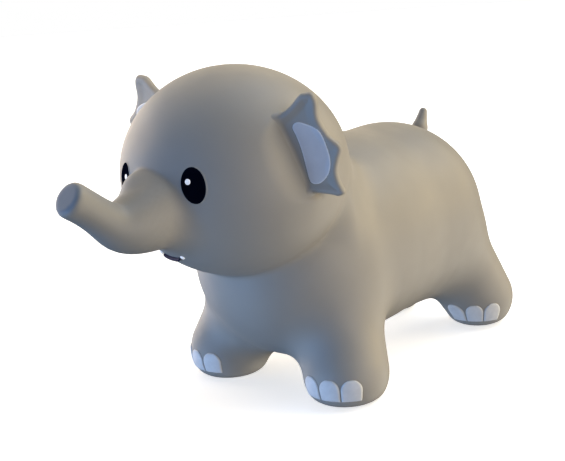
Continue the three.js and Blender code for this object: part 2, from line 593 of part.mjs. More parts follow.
piece(bodyGroup('tail_leaf'), 'tail', tail, GREY, 0.5);
piece(bodyGroup('plug'), 'air_plug', plug, IVORY, 0.4);
const box = new THREE.Box3().setFromObject(elephant, true);
elephant.position.set(-(box.min.x + box.max.x) / 2, -(box.min.y + box.max.y) / 2, -box.min.z);
elephant.updateMatrixWorld(true);
export default elephant;
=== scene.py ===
# %% [markdown]
# # A bouncing elephant, dressed in Blender
# The toy is a hollow vinyl balloon in the shape of an elephant. A toddler sits on its back and hops. The
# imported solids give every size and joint. This lesson puts a smooth skin, paint and light on them.

# %% Load the frame
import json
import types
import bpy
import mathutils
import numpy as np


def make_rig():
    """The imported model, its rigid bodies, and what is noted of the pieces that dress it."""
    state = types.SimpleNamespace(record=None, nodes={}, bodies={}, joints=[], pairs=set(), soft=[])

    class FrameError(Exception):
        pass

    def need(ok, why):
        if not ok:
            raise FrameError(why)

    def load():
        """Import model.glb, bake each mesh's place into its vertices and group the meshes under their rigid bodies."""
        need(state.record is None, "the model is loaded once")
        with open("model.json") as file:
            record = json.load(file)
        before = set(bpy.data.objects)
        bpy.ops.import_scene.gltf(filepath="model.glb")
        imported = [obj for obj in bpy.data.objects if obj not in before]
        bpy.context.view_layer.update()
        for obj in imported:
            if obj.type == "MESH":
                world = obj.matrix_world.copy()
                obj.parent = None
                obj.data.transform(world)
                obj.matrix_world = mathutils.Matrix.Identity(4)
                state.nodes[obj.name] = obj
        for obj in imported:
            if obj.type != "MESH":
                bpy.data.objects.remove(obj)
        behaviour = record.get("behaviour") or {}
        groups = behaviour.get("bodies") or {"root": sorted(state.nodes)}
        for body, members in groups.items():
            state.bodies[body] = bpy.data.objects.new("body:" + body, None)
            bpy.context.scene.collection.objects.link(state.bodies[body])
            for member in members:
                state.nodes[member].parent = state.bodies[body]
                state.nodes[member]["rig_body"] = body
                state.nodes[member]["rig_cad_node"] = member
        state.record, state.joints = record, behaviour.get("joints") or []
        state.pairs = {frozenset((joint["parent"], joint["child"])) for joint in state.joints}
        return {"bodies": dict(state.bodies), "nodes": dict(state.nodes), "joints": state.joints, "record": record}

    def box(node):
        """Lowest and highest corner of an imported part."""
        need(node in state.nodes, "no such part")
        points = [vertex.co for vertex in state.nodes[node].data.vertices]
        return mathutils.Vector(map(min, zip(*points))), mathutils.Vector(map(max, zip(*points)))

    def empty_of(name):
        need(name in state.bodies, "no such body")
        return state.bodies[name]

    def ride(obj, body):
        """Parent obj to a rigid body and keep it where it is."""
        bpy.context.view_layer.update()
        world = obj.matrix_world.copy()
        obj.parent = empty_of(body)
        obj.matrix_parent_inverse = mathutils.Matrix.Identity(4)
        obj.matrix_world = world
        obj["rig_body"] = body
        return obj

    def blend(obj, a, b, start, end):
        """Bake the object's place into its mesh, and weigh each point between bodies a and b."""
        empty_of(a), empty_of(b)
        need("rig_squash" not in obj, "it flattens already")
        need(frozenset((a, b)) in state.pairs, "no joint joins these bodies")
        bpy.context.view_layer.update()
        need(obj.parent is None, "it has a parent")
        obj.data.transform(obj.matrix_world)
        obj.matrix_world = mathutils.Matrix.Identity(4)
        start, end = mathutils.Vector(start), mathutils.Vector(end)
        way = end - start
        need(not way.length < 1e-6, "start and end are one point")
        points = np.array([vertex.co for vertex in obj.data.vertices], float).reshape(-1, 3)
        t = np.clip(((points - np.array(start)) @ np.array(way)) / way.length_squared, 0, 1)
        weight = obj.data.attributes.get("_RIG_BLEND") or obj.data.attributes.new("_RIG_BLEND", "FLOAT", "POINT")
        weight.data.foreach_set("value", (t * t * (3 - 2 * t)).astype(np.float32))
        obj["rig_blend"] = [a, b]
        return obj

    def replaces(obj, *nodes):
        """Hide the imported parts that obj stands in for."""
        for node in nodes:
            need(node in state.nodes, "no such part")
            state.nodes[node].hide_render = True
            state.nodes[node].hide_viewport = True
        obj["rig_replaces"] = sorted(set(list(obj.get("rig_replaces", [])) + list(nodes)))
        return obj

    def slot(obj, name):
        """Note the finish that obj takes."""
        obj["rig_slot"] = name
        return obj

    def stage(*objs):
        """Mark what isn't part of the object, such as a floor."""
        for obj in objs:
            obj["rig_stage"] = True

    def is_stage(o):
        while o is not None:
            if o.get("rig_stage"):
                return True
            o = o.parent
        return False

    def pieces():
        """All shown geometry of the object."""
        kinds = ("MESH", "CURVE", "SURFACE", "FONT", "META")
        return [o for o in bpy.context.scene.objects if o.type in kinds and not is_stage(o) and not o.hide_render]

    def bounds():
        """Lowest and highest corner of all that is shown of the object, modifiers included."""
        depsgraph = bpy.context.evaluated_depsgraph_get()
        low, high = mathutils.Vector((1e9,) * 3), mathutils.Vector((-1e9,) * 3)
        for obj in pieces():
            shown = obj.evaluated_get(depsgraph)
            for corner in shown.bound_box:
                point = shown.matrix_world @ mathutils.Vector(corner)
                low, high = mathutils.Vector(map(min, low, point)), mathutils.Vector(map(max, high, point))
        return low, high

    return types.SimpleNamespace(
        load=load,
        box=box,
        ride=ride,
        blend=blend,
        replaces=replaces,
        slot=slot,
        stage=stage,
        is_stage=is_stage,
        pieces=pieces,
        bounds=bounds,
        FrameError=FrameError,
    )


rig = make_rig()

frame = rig.load()
import json
import math
import bpy
import numpy as np
from mathutils import Matrix, Vector

CAD_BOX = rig.bounds()
joints = {j["name"]: j for j in frame["joints"]}
print("solids span", [round(b - a, 3) for a, b in zip(*CAD_BOX)], "m, joints:", ", ".join(joints))

# %% [markdown]
# ## The balloon as a field
# A moulded, inflated skin has no edges: legs flow out of the barrel and the head sits in a soft crease.
# Metaballs or a remeshed union could give that, but neither keeps the creases fine. In a distance field
# every form says how far away its surface is, and soft_join melts two forms together over a chosen reach.

# %% Soft joins
def soft_join(a, b, reach):
    """Two forms as one, with a fillet where their distances differ by less than the reach."""
    h = np.maximum(reach - np.abs(a - b), 0) / reach
    return np.minimum(a, b) - h * h * reach / 4


def soft_trim(a, b, reach):
    """What two forms share, with its edge rounded over the reach."""
    return -soft_join(-a, -b, reach)


def fade(v, low, high):
    """A smooth change from 0 at low to 1 at high."""
    u = np.clip((v - low) / (high - low), 0, 1)
    return u * u * (3 - 2 * u)


def stub(p, a, ra, b, rb):
    """Distance to a round-ended taper from a, of radius ra, to b, of radius rb."""
    d = np.subtract(b, a)
    l2, rr = d @ d, ra - rb
    a2 = l2 - rr * rr
    q = p - a
    s = q @ d
    e = s - l2
    x2 = ((q * l2 - s[:, None] * d) ** 2).sum(1)
    y2, z2 = s * s * l2, e * e * l2
    k = np.sign(rr) * rr * rr * x2
    side = (np.sqrt(x2 * a2 / l2) + s * rr) / l2 - ra
    near_b, near_a = np.sqrt(x2 + z2) / l2 - rb, np.sqrt(x2 + y2) / l2 - ra
    return np.where(np.sign(e) * a2 * z2 > k, near_b, np.where(np.sign(s) * a2 * y2 < k, near_a, side))


print("a join fills its crease by this share of its reach:", -soft_join(0.0, 0.0, 1.0))

# %% [markdown]
# ## Head, barrel and legs
# The head is an egg, the body a barrel with a slight waist, and each leg a stub with a round foot, pressed
# flat where it stands. Boxes could be subdivided and pulled by hand. A taper in the field needs only a
# middle and a radius at each end, the same as in the solids.

# %% Head, barrel and legs
# Lengths in metres. The sole is trimmed softly a little below the floor and then flat on it.
MIDDLE_Y, SOLE_Z, HEAD_Z = -0.08582, -0.002, 0.243
HEAD = np.array((0, MIDDLE_Y, HEAD_Z + SOLE_Z))
HEAD_R = np.array((0.1165, 0.1115, 0.1045))


def at(x, y, z):
    """A place in the frame, given from the middle of the head backward and from the soft trim upward."""
    return np.array((x, y + MIDDLE_Y, z + SOLE_Z))


CHEST, WAIST, RUMP = at(0, 0.0845, 0.1395), at(0, 0.158, 0.147), at(0, 0.2525, 0.149)
CHEST_R, WAIST_R, RUMP_R = 0.1085, 0.106, 0.110
FRONT_HIP, FRONT_FOOT = at(0.043, 0.087, 0.1235), at(0.082, 0.055, 0.030)
REAR_HIP, REAR_FOOT = at(0.048, 0.300, 0.1095), at(0.065, 0.3425, 0.0355)
FRONT_HIP_R, FRONT_FOOT_R, REAR_HIP_R, REAR_FOOT_R = 0.0465, 0.0445, 0.0485, 0.043
LEG_FLOW, BARREL_FLOW, SOLE_ROUND, SOLE_FLAT = 0.027, 0.020, 0.012, 0.0004
TINY = 1e-6


def head_form(p):
    q = (p - HEAD) / HEAD_R
    k0, k1 = np.linalg.norm(q, axis=1), np.linalg.norm(q / HEAD_R, axis=1)
    return k0 * (k0 - 1) / np.maximum(k1, TINY)


def barrel_form(p):
    """Barrel and legs, with flat soles."""
    right = p * (-1, 1, 1)
    fore, aft = stub(p, CHEST, CHEST_R, WAIST, WAIST_R), stub(p, WAIST, WAIST_R, RUMP, RUMP_R)
    barrel = soft_join(fore, aft, BARREL_FLOW)
    for hip, hip_r, foot, foot_r in ((FRONT_HIP, FRONT_HIP_R, FRONT_FOOT, FRONT_FOOT_R),
                                     (REAR_HIP, REAR_HIP_R, REAR_FOOT, REAR_FOOT_R)):
        pair = soft_join(stub(p, hip, hip_r, foot, foot_r), stub(right, hip, hip_r, foot, foot_r), LEG_FLOW)
        barrel = soft_join(barrel, pair, LEG_FLOW)
    pressed = soft_trim(barrel, SOLE_Z - p[:, 2], SOLE_ROUND)
    return soft_trim(pressed, -p[:, 2], SOLE_FLAT)


print("barrel from", CHEST.round(3), "to", RUMP.round(3), "and head at", HEAD.round(3))

# %% [markdown]
# ## The trunk
# The trunk is a thick root that bends down, thins and lifts its tip to a flat, slightly flared end. A
# bevelled curve would meet the head in a hard line. So the same curve is filled with balls, close enough to
# be smooth. One more ball makes the root fuller on its right, as the photograph shows it.

# %% Trunk form
FACE_Y = MIDDLE_Y - HEAD_R[1]
TRUNK_LINE = np.array(((0, FACE_Y + 0.0515, HEAD[2] - 0.007), (0, FACE_Y - 0.056, HEAD[2] - 0.041),
                       (0, FACE_Y - 0.034, HEAD[2] - 0.0306), (0, FACE_Y - 0.087, HEAD[2] + 0.004)))
TRUNK_R = np.array((0.042, 0.028, 0.0146, 0.0165))
TRUNK_END, TRUNK_END_ROUND, TRUNK_BALLS = 0.0095, 0.007, 90
TRUNK_PAST, PAST_BALLS = 0.022, 12  # a straight stretch past the curve, which the flat end cuts
ROOT_FULL, ROOT_FULL_R, ROOT_FULL_FLOW = np.array((-0.0128, FACE_Y - 0.0011, HEAD[2] - 0.0003)), 0.0157, 0.012
CHUNK, FAR = 20000, 1.0  # points worked out at once, and the distance of points behind the head's middle

t = np.linspace(0, 1, TRUNK_BALLS)[:, None]
bezier = np.hstack(((1 - t) ** 3, 3 * (1 - t) ** 2 * t, 3 * (1 - t) * t * t, t ** 3))
trunk_way = TRUNK_LINE[3] - TRUNK_LINE[2]
trunk_way = trunk_way / np.linalg.norm(trunk_way)
trunk_tip = TRUNK_LINE[3] + TRUNK_END * trunk_way
past = np.linspace(0, TRUNK_PAST, PAST_BALLS)[1:, None]
ball_at = np.vstack((bezier @ TRUNK_LINE, TRUNK_LINE[3] + past * trunk_way))
ball_r = np.concatenate((bezier @ TRUNK_R, np.full(len(past), TRUNK_R[3])))


def chunks(ids):
    """Parts of a list of points, small enough for the memory."""
    return np.array_split(ids, max(1, len(ids) // CHUNK))


def trunk_form(p):
    out = np.full(len(p), FAR)
    for part in chunks(np.flatnonzero(p[:, 1] < MIDDLE_Y)):
        away = np.sqrt(((p[part][:, None] - ball_at) ** 2).sum(2)) - ball_r
        full = np.sqrt(((p[part] - ROOT_FULL) ** 2).sum(1)) - ROOT_FULL_R
        tube = soft_join(away.min(1), full, ROOT_FULL_FLOW)
        out[part] = soft_trim(tube, (p[part] - trunk_tip) @ trunk_way, TRUNK_END_ROUND)
    return out


print("trunk tip at", trunk_tip.round(3))

# %% [markdown]
# ## Ear outlines
# Each ear is a soft flap with a wavy hem, and a pale patch is painted on its front. A Bezier curve object
# could hold the outlines. Here each is a closed spline in the ear's own axes, down the root and outward, so
# that a field can ask for the distance to it.

# %% Ear outlines
EAR_LINE = ((0.002, -0.026), (-0.003, 0.001), (-0.006, 0.012), (-0.012, 0.024), (-0.0112, 0.031),
            (-0.0095, 0.0355), (-0.005, 0.0375), (0.002, 0.0368), (0.0143, 0.0328), (0.0315, 0.0350),
            (0.0455, 0.0412), (0.055, 0.0350), (0.0645, 0.0288), (0.075, 0.0270), (0.0855, 0.0272),
            (0.087, 0.0205), (0.0838, 0.0150), (0.078, 0.0040), (0.0755, -0.004), (0.074, -0.026))
PATCH_LINE = ((0.0134, 0.0058), (0.0100, 0.0089), (0.0103, 0.0136), (0.0138, 0.0188), (0.0191, 0.0249),
              (0.0250, 0.0290), (0.0324, 0.0299), (0.0419, 0.0290), (0.0513, 0.0276), (0.0585, 0.0248),
              (0.0648, 0.0194), (0.0690, 0.0114), (0.0689, 0.0055), (0.0659, 0.0012), (0.0604, 0.0008),
              (0.0503, 0.0026), (0.0347, 0.0052), (0.0219, 0.0060))
LEVEL = 1e-12  # stands in for the rise of a level line, which nothing crosses


def rounded(line, steps=6):
    """A closed Catmull-Rom line through the points."""
    p = np.array(line)
    a, b, c, d = np.roll(p, 1, 0), p, np.roll(p, -1, 0), np.roll(p, -2, 0)
    u = (np.arange(steps) / steps)[None, :, None]
    a, b, c, d = (v[:, None] for v in (a, b, c, d))
    curve = b + 0.5 * u * (c - a + u * (2 * a - 5 * b + 4 * c - d + u * (3 * (b - c) + d - a)))
    return curve.reshape(-1, 2)


def line_distance(p, line):
    """Distance to a closed line in a plane, below zero inside."""
    a, b = line, np.roll(line, -1, 0)
    rise = np.where(b[:, 1] == a[:, 1], LEVEL, b[:, 1] - a[:, 1])
    out = np.empty(len(p))
    for part in chunks(np.arange(len(p))):
        q, e = p[part][:, None] - a, b - a
        share = np.clip((q * e).sum(2) / (e * e).sum(1), 0, 1)[..., None]
        away = np.sqrt(((q - share * e) ** 2).sum(2).min(1))
        x, y = p[part][:, :1], p[part][:, 1:]
        level_x = (b[:, 0] - a[:, 0]) * (y - a[:, 1]) / rise + a[:, 0]
        crossed = ((a[:, 1] > y) != (b[:, 1] > y)) & (x < level_x)
        out[part] = np.where(crossed.sum(1) % 2 == 1, -away, away)
    return out


ear_line, patch_line = rounded(EAR_LINE), rounded(PATCH_LINE)
print("ear", np.ptp(ear_line, 0).round(3), "m, patch", np.ptp(patch_line, 0).round(3), "m")

# %% [markdown]
# ## Where the ears stand
# The right ear stands higher than the left and faces a little inward. Two empties could mark that. A small
# class takes each root from the joint that the ear bends about, so skin and motion share one line. It tells
# all as if the ear stood on the left, and a mirror takes it to its own side.

# %% Ear axes
EAR_ROOT, EAR_TURN = 0.081, {"left": math.radians(20.6), "right": math.radians(-7)}
HOLLOW_TILT = math.radians(17)


def square_to(v, way):
    """The part of a direction that stands square to another one, with length one."""
    v = v - v @ way * way
    return v / np.linalg.norm(v)


class Ear:
    """Root, axes and hollow of one ear."""

    def __init__(self, word, side):
        joint, turn = joints[word + "_ear_flex"], EAR_TURN[word]
        self.word, self.mirror = word, np.array((side, 1, 1))
        self.down = np.array(joint["axis"]) * (1, side, side)
        self.pivot = np.array(joint["pos_m"]) * self.mirror
        self.face = square_to(np.array((math.sin(turn), -math.cos(turn), 0)), self.down)
        self.out = np.cross(self.face, self.down)
        self.axes = np.stack((self.down, self.out, self.face), 1)
        self.top = self.pivot - self.down * EAR_ROOT / 2
        rise = square_to((self.pivot - HEAD) / HEAD_R ** 2, self.down)
        ahead = np.cross(self.down, rise)
        ahead *= np.sign(ahead @ self.face)
        self.hollow_up = math.cos(HOLLOW_TILT) * rise - math.sin(HOLLOW_TILT) * ahead


SIDES = (("left", 1), ("right", -1))
EARS = [Ear(word, side) for word, side in SIDES]
for ear in EARS:
    print(ear.word, "ear: root along", ear.down.round(3), "facing", ear.face.round(3))

# %% [markdown]
# ## Flap and hollow
# The flap is the outline with rounded edges and a shallow dish in front. A solidified plane could be the
# flap, but its hem would be square. The mould also presses a soft hollow into the head, so that the flap's
# face runs on to a straight root.

# %% Ear forms
EAR_FRONT, EAR_BACK, EAR_EDGE, EAR_DISH, DISH_RIM = 0.0065, 0.0045, 0.0065, 0.0030, 0.012
HOLLOW_IN, HOLLOW_SOFT, HOLLOW_END, HOLLOW_FADE = 0.004, 0.010, 0.014, 0.036
HOLLOW_NEAR, HOLLOW_SIDE = 0.05, 0.05  # how near the skin and how far aside a point counts


def ear_front(edge):
    """Height of the dished front face above the root plane, at a distance inside the hem."""
    return EAR_FRONT - EAR_DISH * fade(-edge, 0, DISH_RIM)


def flap_form(p, ear):
    q = (p - ear.top) @ ear.axes
    edge = line_distance(q[:, :2], ear_line)
    slab = np.maximum(q[:, 2] - ear_front(edge), -EAR_BACK - q[:, 2])
    return soft_trim(slab, edge, EAR_EDGE)


def hollowed(head, p, ear):
    """The head with a soft hollow in front of the ear's root."""
    q = p - ear.top
    above = (q - EAR_FRONT * ear.face + HOLLOW_IN * ear.out) @ ear.hollow_up
    down = q @ ear.down
    beyond = np.maximum(np.maximum(-down, down - EAR_ROOT) + HOLLOW_END, 0)
    above = above - beyond ** 2 / HOLLOW_FADE
    return soft_trim(head, np.minimum(above, q @ ear.face), HOLLOW_SOFT)


def hollow_head(p):
    head = head_form(p)
    for ear in EARS:
        near = np.flatnonzero((np.abs(head) < HOLLOW_NEAR) & (p[:, 0] * ear.mirror[0] > HOLLOW_SIDE))
        head[near] = hollowed(head[near], p[near] * ear.mirror, ear)
    return head


print("flap", EAR_FRONT + EAR_BACK, "m thick with a dish of", EAR_DISH, "m")

# %% [markdown]
# ## One skin
# Neck and trunk root are creases, so their flow is short. The crease over the trunk is the sharpest and
# fades towards the mouth, so the reach grows downward there. Behind the ears the head runs into the
# shoulders, so the reach grows towards the back on both sides.

# %% The whole skin as one form
NECK_FLOW, SHOULDER_FLOW, TRUNK_FLOW_TOP, TRUNK_FLOW_LOW = 0.006, 0.040, 0.0025, 0.022
FLOW_TOP_Z, FLOW_LOW_Z = 0.250, 0.195
CHEEK_Y, SHOULDER_Y, NAPE_X, SHOULDER_X = -0.064, -0.022, 0.030, 0.070


def skin_form(p):
    shoulder = fade(p[:, 1], CHEEK_Y, SHOULDER_Y) * fade(np.abs(p[:, 0]), NAPE_X, SHOULDER_X)
    body = soft_join(barrel_form(p), hollow_head(p), NECK_FLOW + shoulder * (SHOULDER_FLOW - NECK_FLOW))
    share = np.clip((p[:, 2] - FLOW_LOW_Z) / (FLOW_TOP_Z - FLOW_LOW_Z), 0, 1)
    return soft_join(body, trunk_form(p), TRUNK_FLOW_LOW + share * (TRUNK_FLOW_TOP - TRUNK_FLOW_LOW))


print("creases:", NECK_FLOW, "at the neck,", TRUNK_FLOW_TOP, "to", TRUNK_FLOW_LOW, "at the trunk")

# %% [markdown]
# ## From field to points
# Blender's Volume to Mesh could draw the surface, but it leaves steps. Here the box around a form is a grid
# of cells, and a cell that the surface crosses gets one point, the mean of the places where its edges are
# crossed. Blocks far from the surface are skipped.

# %% Cells that the surface crosses
BLOCK, BLOCK_REACH = 4, 6  # cells along a block, and how many cells from the surface it still counts
GRID_MARGIN = 1.5  # cells around the box on each side
SLOPE_STEP = 0.0002


def slope(form, p):
    """The direction in which the distance grows, at each point."""
    h = SLOPE_STEP
    return np.stack([form(p + h * e) - form(p - h * e) for e in np.eye(3)], 1) / (2 * h)


def sampled(form, low, high, cell):
    """Grid points and their distances, exact near the surface and those of a block's middle elsewhere."""
    counts = [BLOCK * math.ceil((b - a + 2 * GRID_MARGIN * cell) / cell / BLOCK) for a, b in zip(low, high)]
    axes = [a - GRID_MARGIN * cell + cell * np.arange(k) for a, k in zip(low, counts)]
    grid = np.stack(np.meshgrid(*axes, indexing="ij"), -1)
    each = slice(BLOCK // 2, None, BLOCK)
    middles = grid[each, each, each]
    value = form(middles.reshape(-1, 3)).reshape(middles.shape[:3])
    for axis in range(3):
        value = np.repeat(value, BLOCK, axis)
    near = np.abs(value) < BLOCK_REACH * cell
    value[near] = form(grid[near])
    return grid, value


def crossings(grid, value):
    """The cells that the surface crosses and a point in each."""
    n = [k - 1 for k in value.shape]

    def corner(a, i, j, k):
        return a[i:n[0] + i, j:n[1] + j, k:n[2] + k]

    total, hits = np.zeros((*n, 3)), np.zeros(n)
    for axis in range(3):
        for i, j in ((0, 0), (0, 1), (1, 0), (1, 1)):
            one, two = (np.insert([i, j], axis, end) for end in (0, 1))
            va, vb = corner(value, *one), corner(value, *two)
            cut = (va < 0) != (vb < 0)
            share = np.where(cut, va / np.where(cut, va - vb, 1), 0)[..., None]
            between = corner(grid, *one) * (1 - share) + corner(grid, *two) * share
            total += np.where(cut[..., None], between, 0)
            hits += cut
    cells = np.argwhere(hits > 0)
    return cells, total[tuple(cells.T)] / hits[tuple(cells.T)][:, None]


print("blocks of", BLOCK ** 3, "cells")

# %% [markdown]
# ## From points to a mesh
# A few Newton steps pull each point onto the surface, and points of neighbouring cells make quads. A
# Subdivision modifier could smooth them, but the field's own slope gives exact shading normals.

# %% Skin maker
PULLS, LEAST_SLOPE = 4, 1e-3


def quads_between(value, cells):
    """Quads that join the points of neighbouring cells, facing outward."""
    number = np.full([k - 1 for k in value.shape], -1)
    number[tuple(cells.T)] = np.arange(len(cells))
    quads = []
    for axis in range(3):
        order = axis, (axis + 1) % 3, (axis + 2) % 3
        inside, ids = (np.moveaxis(a, order, (0, 1, 2)) for a in (value < 0, number))
        first, second = inside[:-1, 1:-1, 1:-1], inside[1:, 1:-1, 1:-1]
        for outward in (True, False):
            i, j, k = np.argwhere((first == outward) & (second != outward)).T
            ring = np.stack((ids[i, j, k], ids[i, j + 1, k], ids[i, j + 1, k + 1], ids[i, j, k + 1]), 1)
            quads.append(ring if outward else ring[:, ::-1])
    return np.vstack(quads)


def skin_over(form, low, high, cell):
    """Points and quads of a form's surface inside a box."""
    grid, value = sampled(form, low, high, cell)
    cells, points = crossings(grid, value)
    for _ in range(PULLS):
        g = slope(form, points)
        move = form(points) / np.maximum((g * g).sum(1), LEAST_SLOPE)
        points -= np.clip(move, -cell / 2, cell / 2)[:, None] * g
    return points, quads_between(value, cells)


def in_scene(name, data):
    """A new object with this data, linked to the scene."""
    made = bpy.data.objects.new(name, data)
    bpy.context.scene.collection.objects.link(made)
    return made


def make_piece(name, points, faces, form=None):
    """A smooth-shaded object, with the form's slope as its normals where one is given."""
    mesh = bpy.data.meshes.new(name)
    used, order = np.unique(faces, return_inverse=True)
    mesh.from_pydata(points[used].tolist(), [], order.reshape(faces.shape).tolist())
    mesh.polygons.foreach_set("use_smooth", np.ones(len(mesh.polygons), bool))
    if form is not None:
        normals = slope(form, points[used])
        mesh.normals_split_custom_set_from_vertices(normals / np.linalg.norm(normals, axis=1)[:, None])
    return in_scene(name, mesh)


SKIN_CELL = 0.003
skin_points, skin_quads = skin_over(skin_form, CAD_BOX[0], CAD_BOX[1], SKIN_CELL)
print("skin:", len(skin_points), "points,", len(skin_quads), "quads")

# %% [markdown]
# ## Splitting the skin where it bounces
# Under a rider the legs give way and the body sinks. An armature could bend one whole skin. Here each leg's
# skin is a piece that follows the foot at its sole and the body at its root. The cut runs square to the leg,
# and both sides keep the field's normals, so the seam doesn't show. The body's skin has a hole for the air
# valve.

# %% Body and leg skins
BALLS = ((CHEST, CHEST_R), (WAIST, WAIST_R), (RUMP, RUMP_R))
LEG_CUT, CUT_CALM, FRONT_GIVE, REAR_GIVE = -0.016, 0.005, 0.002, 0.008
VALVE_HOLE = 0.0066
middle = skin_points[skin_quads].mean(1)
owner = np.zeros(len(skin_quads), int)
legs = []
ENDS = (("front", FRONT_HIP, FRONT_FOOT, FRONT_GIVE), ("rear", REAR_HIP, REAR_FOOT, REAR_GIVE))
for which, hip, foot, give in ENDS:
    for word, side in SIDES:
        way = (foot - hip) / np.linalg.norm(foot - hip) * (side, 1, 1)
        root = max(c @ way + r for c, r in BALLS) + LEG_CUT
        same_end = (middle[:, 1] < WAIST[1]) == (which == "front")
        owner[(middle @ way > root) & (middle[:, 0] * side > 0) & same_end] = len(legs) + 1
        start, end = way * (foot * (side, 1, 1) @ way - give), way * (root + CUT_CALM)
        legs.append((f"leg_{which}_{word}", start, end))
seat_low, seat_high = (np.array(v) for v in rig.box("valve_seat"))
VALVE = (seat_low + seat_high) / 2
around = np.hypot(*(middle - VALVE)[:, :2].T)
open_at = (around < VALVE_HOLE) & (middle[:, 2] < WAIST[2])
skin_whole = make_piece("skin_whole", skin_points, skin_quads)
body_skin = make_piece("body_skin", skin_points, skin_quads[(owner == 0) & ~open_at], skin_form)
leg_skins = [make_piece(leg[0] + "_skin", skin_points, skin_quads[owner == k + 1], skin_form)
             for k, leg in enumerate(legs)]
print("body skin", len(body_skin.data.polygons), "quads, legs", [len(o.data.polygons) for o in leg_skins])

# %% [markdown]
# ## Ear flaps and their painted patches
# The flap is its own piece, because it bends. Its foot runs out into a thin apron just under the head's
# skin, so no gap opens. A texture could show the pale patch, but not its raised edge, so it is a film on the
# dish. Its points note how close to the edge they are, for the finish to read.

# %% Ear pieces
ROOT_FLOW, TUCK, APRON, FILM, PATCH_RIM = 0.005, 0.0006, 0.006, 0.0006, 0.0019
EAR_CELL, PATCH_CELL, EAR_ROOM = 0.0013, 0.0008, np.array((0.012, 0.012, 0.010))


def ear_form(p, ear):
    return soft_join(flap_form(p, ear), hollowed(head_form(p), p, ear) + TUCK, ROOT_FLOW)


def patch_form(p, ear):
    q = (p - ear.top) @ ear.axes
    height = q[:, 2] - ear_front(line_distance(q[:, :2], ear_line))
    film = np.maximum(height - FILM, -height - 2 * FILM)
    return soft_trim(film, line_distance(q[:, :2], patch_line), 2 * FILM)


def only_near(points, quads, form, reach):
    """The quads that lie within a reach of a form."""
    return quads[(form(points) < reach)[quads].all(1)]


ears, patches = {}, {}
for ear in EARS:
    corners = np.array(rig.box("ear_" + ear.word)) * ear.mirror
    low, high = corners.min(0) - EAR_ROOM, corners.max(0) + EAR_ROOM
    for made, kind, form, cell in ((ears, "ear", ear_form, EAR_CELL),
                                   (patches, "ear_patch", patch_form, PATCH_CELL)):
        points, quads = skin_over(lambda p: form(p, ear), low, high, cell)
        if made is ears:
            quads = only_near(points, quads, lambda p: flap_form(p, ear), APRON)
        made[ear.word] = make_piece(f"{kind}_{ear.word}_skin", points * ear.mirror, quads[:, ::ear.mirror[0]],
                                    lambda p: form(p * ear.mirror, ear))
    mesh = patches[ear.word].data
    places = np.array([v.co for v in mesh.vertices]) * ear.mirror
    inside = -line_distance(((places - ear.top) @ ear.axes)[:, :2], patch_line)
    mesh.attributes.new("rim", "FLOAT", "POINT").data.foreach_set("value", 1 - fade(inside, 0, PATCH_RIM))
for made in (ears, patches):
    print([f"{o.name}: {len(o.data.polygons)} quads" for o in made.values()])

# %% [markdown]
# ## Tail
# The tail is one small upright leaf. A bevelled cone could stand for it, but the mould lets it melt into
# the rump. So it is two tapers, thickest a third of the way up, with an apron as the ears have.

# %% Tail form
TAIL_BASE = np.array(joints["tail_flex"]["pos_m"])
TAIL_LEAN, TAIL_LENGTH, TAIL_R = math.radians(25.5), 0.037, 0.0088
TAIL_FOOT, TAIL_BELLY, TAIL_POINT = -0.25, 0.30, 0.86  # shares of the length
TAIL_FOOT_R, TAIL_POINT_R = 0.8 * TAIL_R, 0.0048
LEAF_FLOW, RUMP_FLOW, TAIL_CELL, TAIL_ROOM = 0.004, 0.003, 0.0011, np.array((0.012, 0.012, 0.004))
tail_way = np.array((0, math.sin(TAIL_LEAN), math.cos(TAIL_LEAN)))


def leaf_form(p):
    foot, belly, point = (TAIL_BASE + s * TAIL_LENGTH * tail_way for s in (TAIL_FOOT, TAIL_BELLY, TAIL_POINT))
    lower, upper = stub(p, foot, TAIL_FOOT_R, belly, TAIL_R), stub(p, belly, TAIL_R, point, TAIL_POINT_R)
    return soft_join(lower, upper, LEAF_FLOW)


def tail_form(p):
    return soft_join(leaf_form(p), barrel_form(p) + TUCK, RUMP_FLOW)


low, high = (np.array(v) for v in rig.box("tail"))
points, quads = skin_over(tail_form, low - TAIL_ROOM, high + TAIL_ROOM, TAIL_CELL)
tail = make_piece("tail_skin", points, only_near(points, quads, leaf_form, APRON), tail_form)
print("tail:", len(tail.data.polygons), "quads")

# %% [markdown]
# ## Face
# Eyes, glints and mouth are paint on slightly raised, moulded places. A shrinkwrapped disc could be each of
# them. Here each is a thin lens: an outline in a plane that touches the head, with a rounded edge, between
# two shells around the head, so it follows the head's curve exactly.

# %% Lenses on the head
LENS_ROOM = 0.009


def touching(x, z, lean):
    """Axes (right, up, out) and the point where a plane touches the head at that width and height."""
    y = -HEAD_R[1] * math.sqrt(1 - (x / HEAD_R[0]) ** 2 - (z / HEAD_R[2]) ** 2)
    p = np.array((x, y, z))
    out = p / HEAD_R ** 2
    out /= np.linalg.norm(out)
    right = np.cross((0, 0, 1), out)
    right /= np.linalg.norm(right)
    up = np.cross(out, right)
    c, s = math.cos(lean), math.sin(lean)
    return np.stack((c * right + s * up, c * up - s * right, out), 1), HEAD + p


def lens_piece(name, node, place, line, low, high, edge, cell):
    """A lens between two heights over the head's skin, in the box of the node that it replaces."""
    axes, centre = place

    def form(p):
        height = head_form(p)
        film = np.maximum(height - high, low - height)
        return soft_trim(film, line_distance(((p - centre) @ axes)[:, :2], line), edge)

    a, b = (np.array(v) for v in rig.box(node))
    return make_piece(name, *skin_over(form, a - LENS_ROOM, b + LENS_ROOM, cell), form)


def oval(w, h, n=64):
    a = np.linspace(0, 2 * math.pi, n, endpoint=False)
    return np.stack((w * np.cos(a), h * np.sin(a)), 1)


face_pieces = []
print("lenses reach", LENS_ROOM, "m past their nodes")

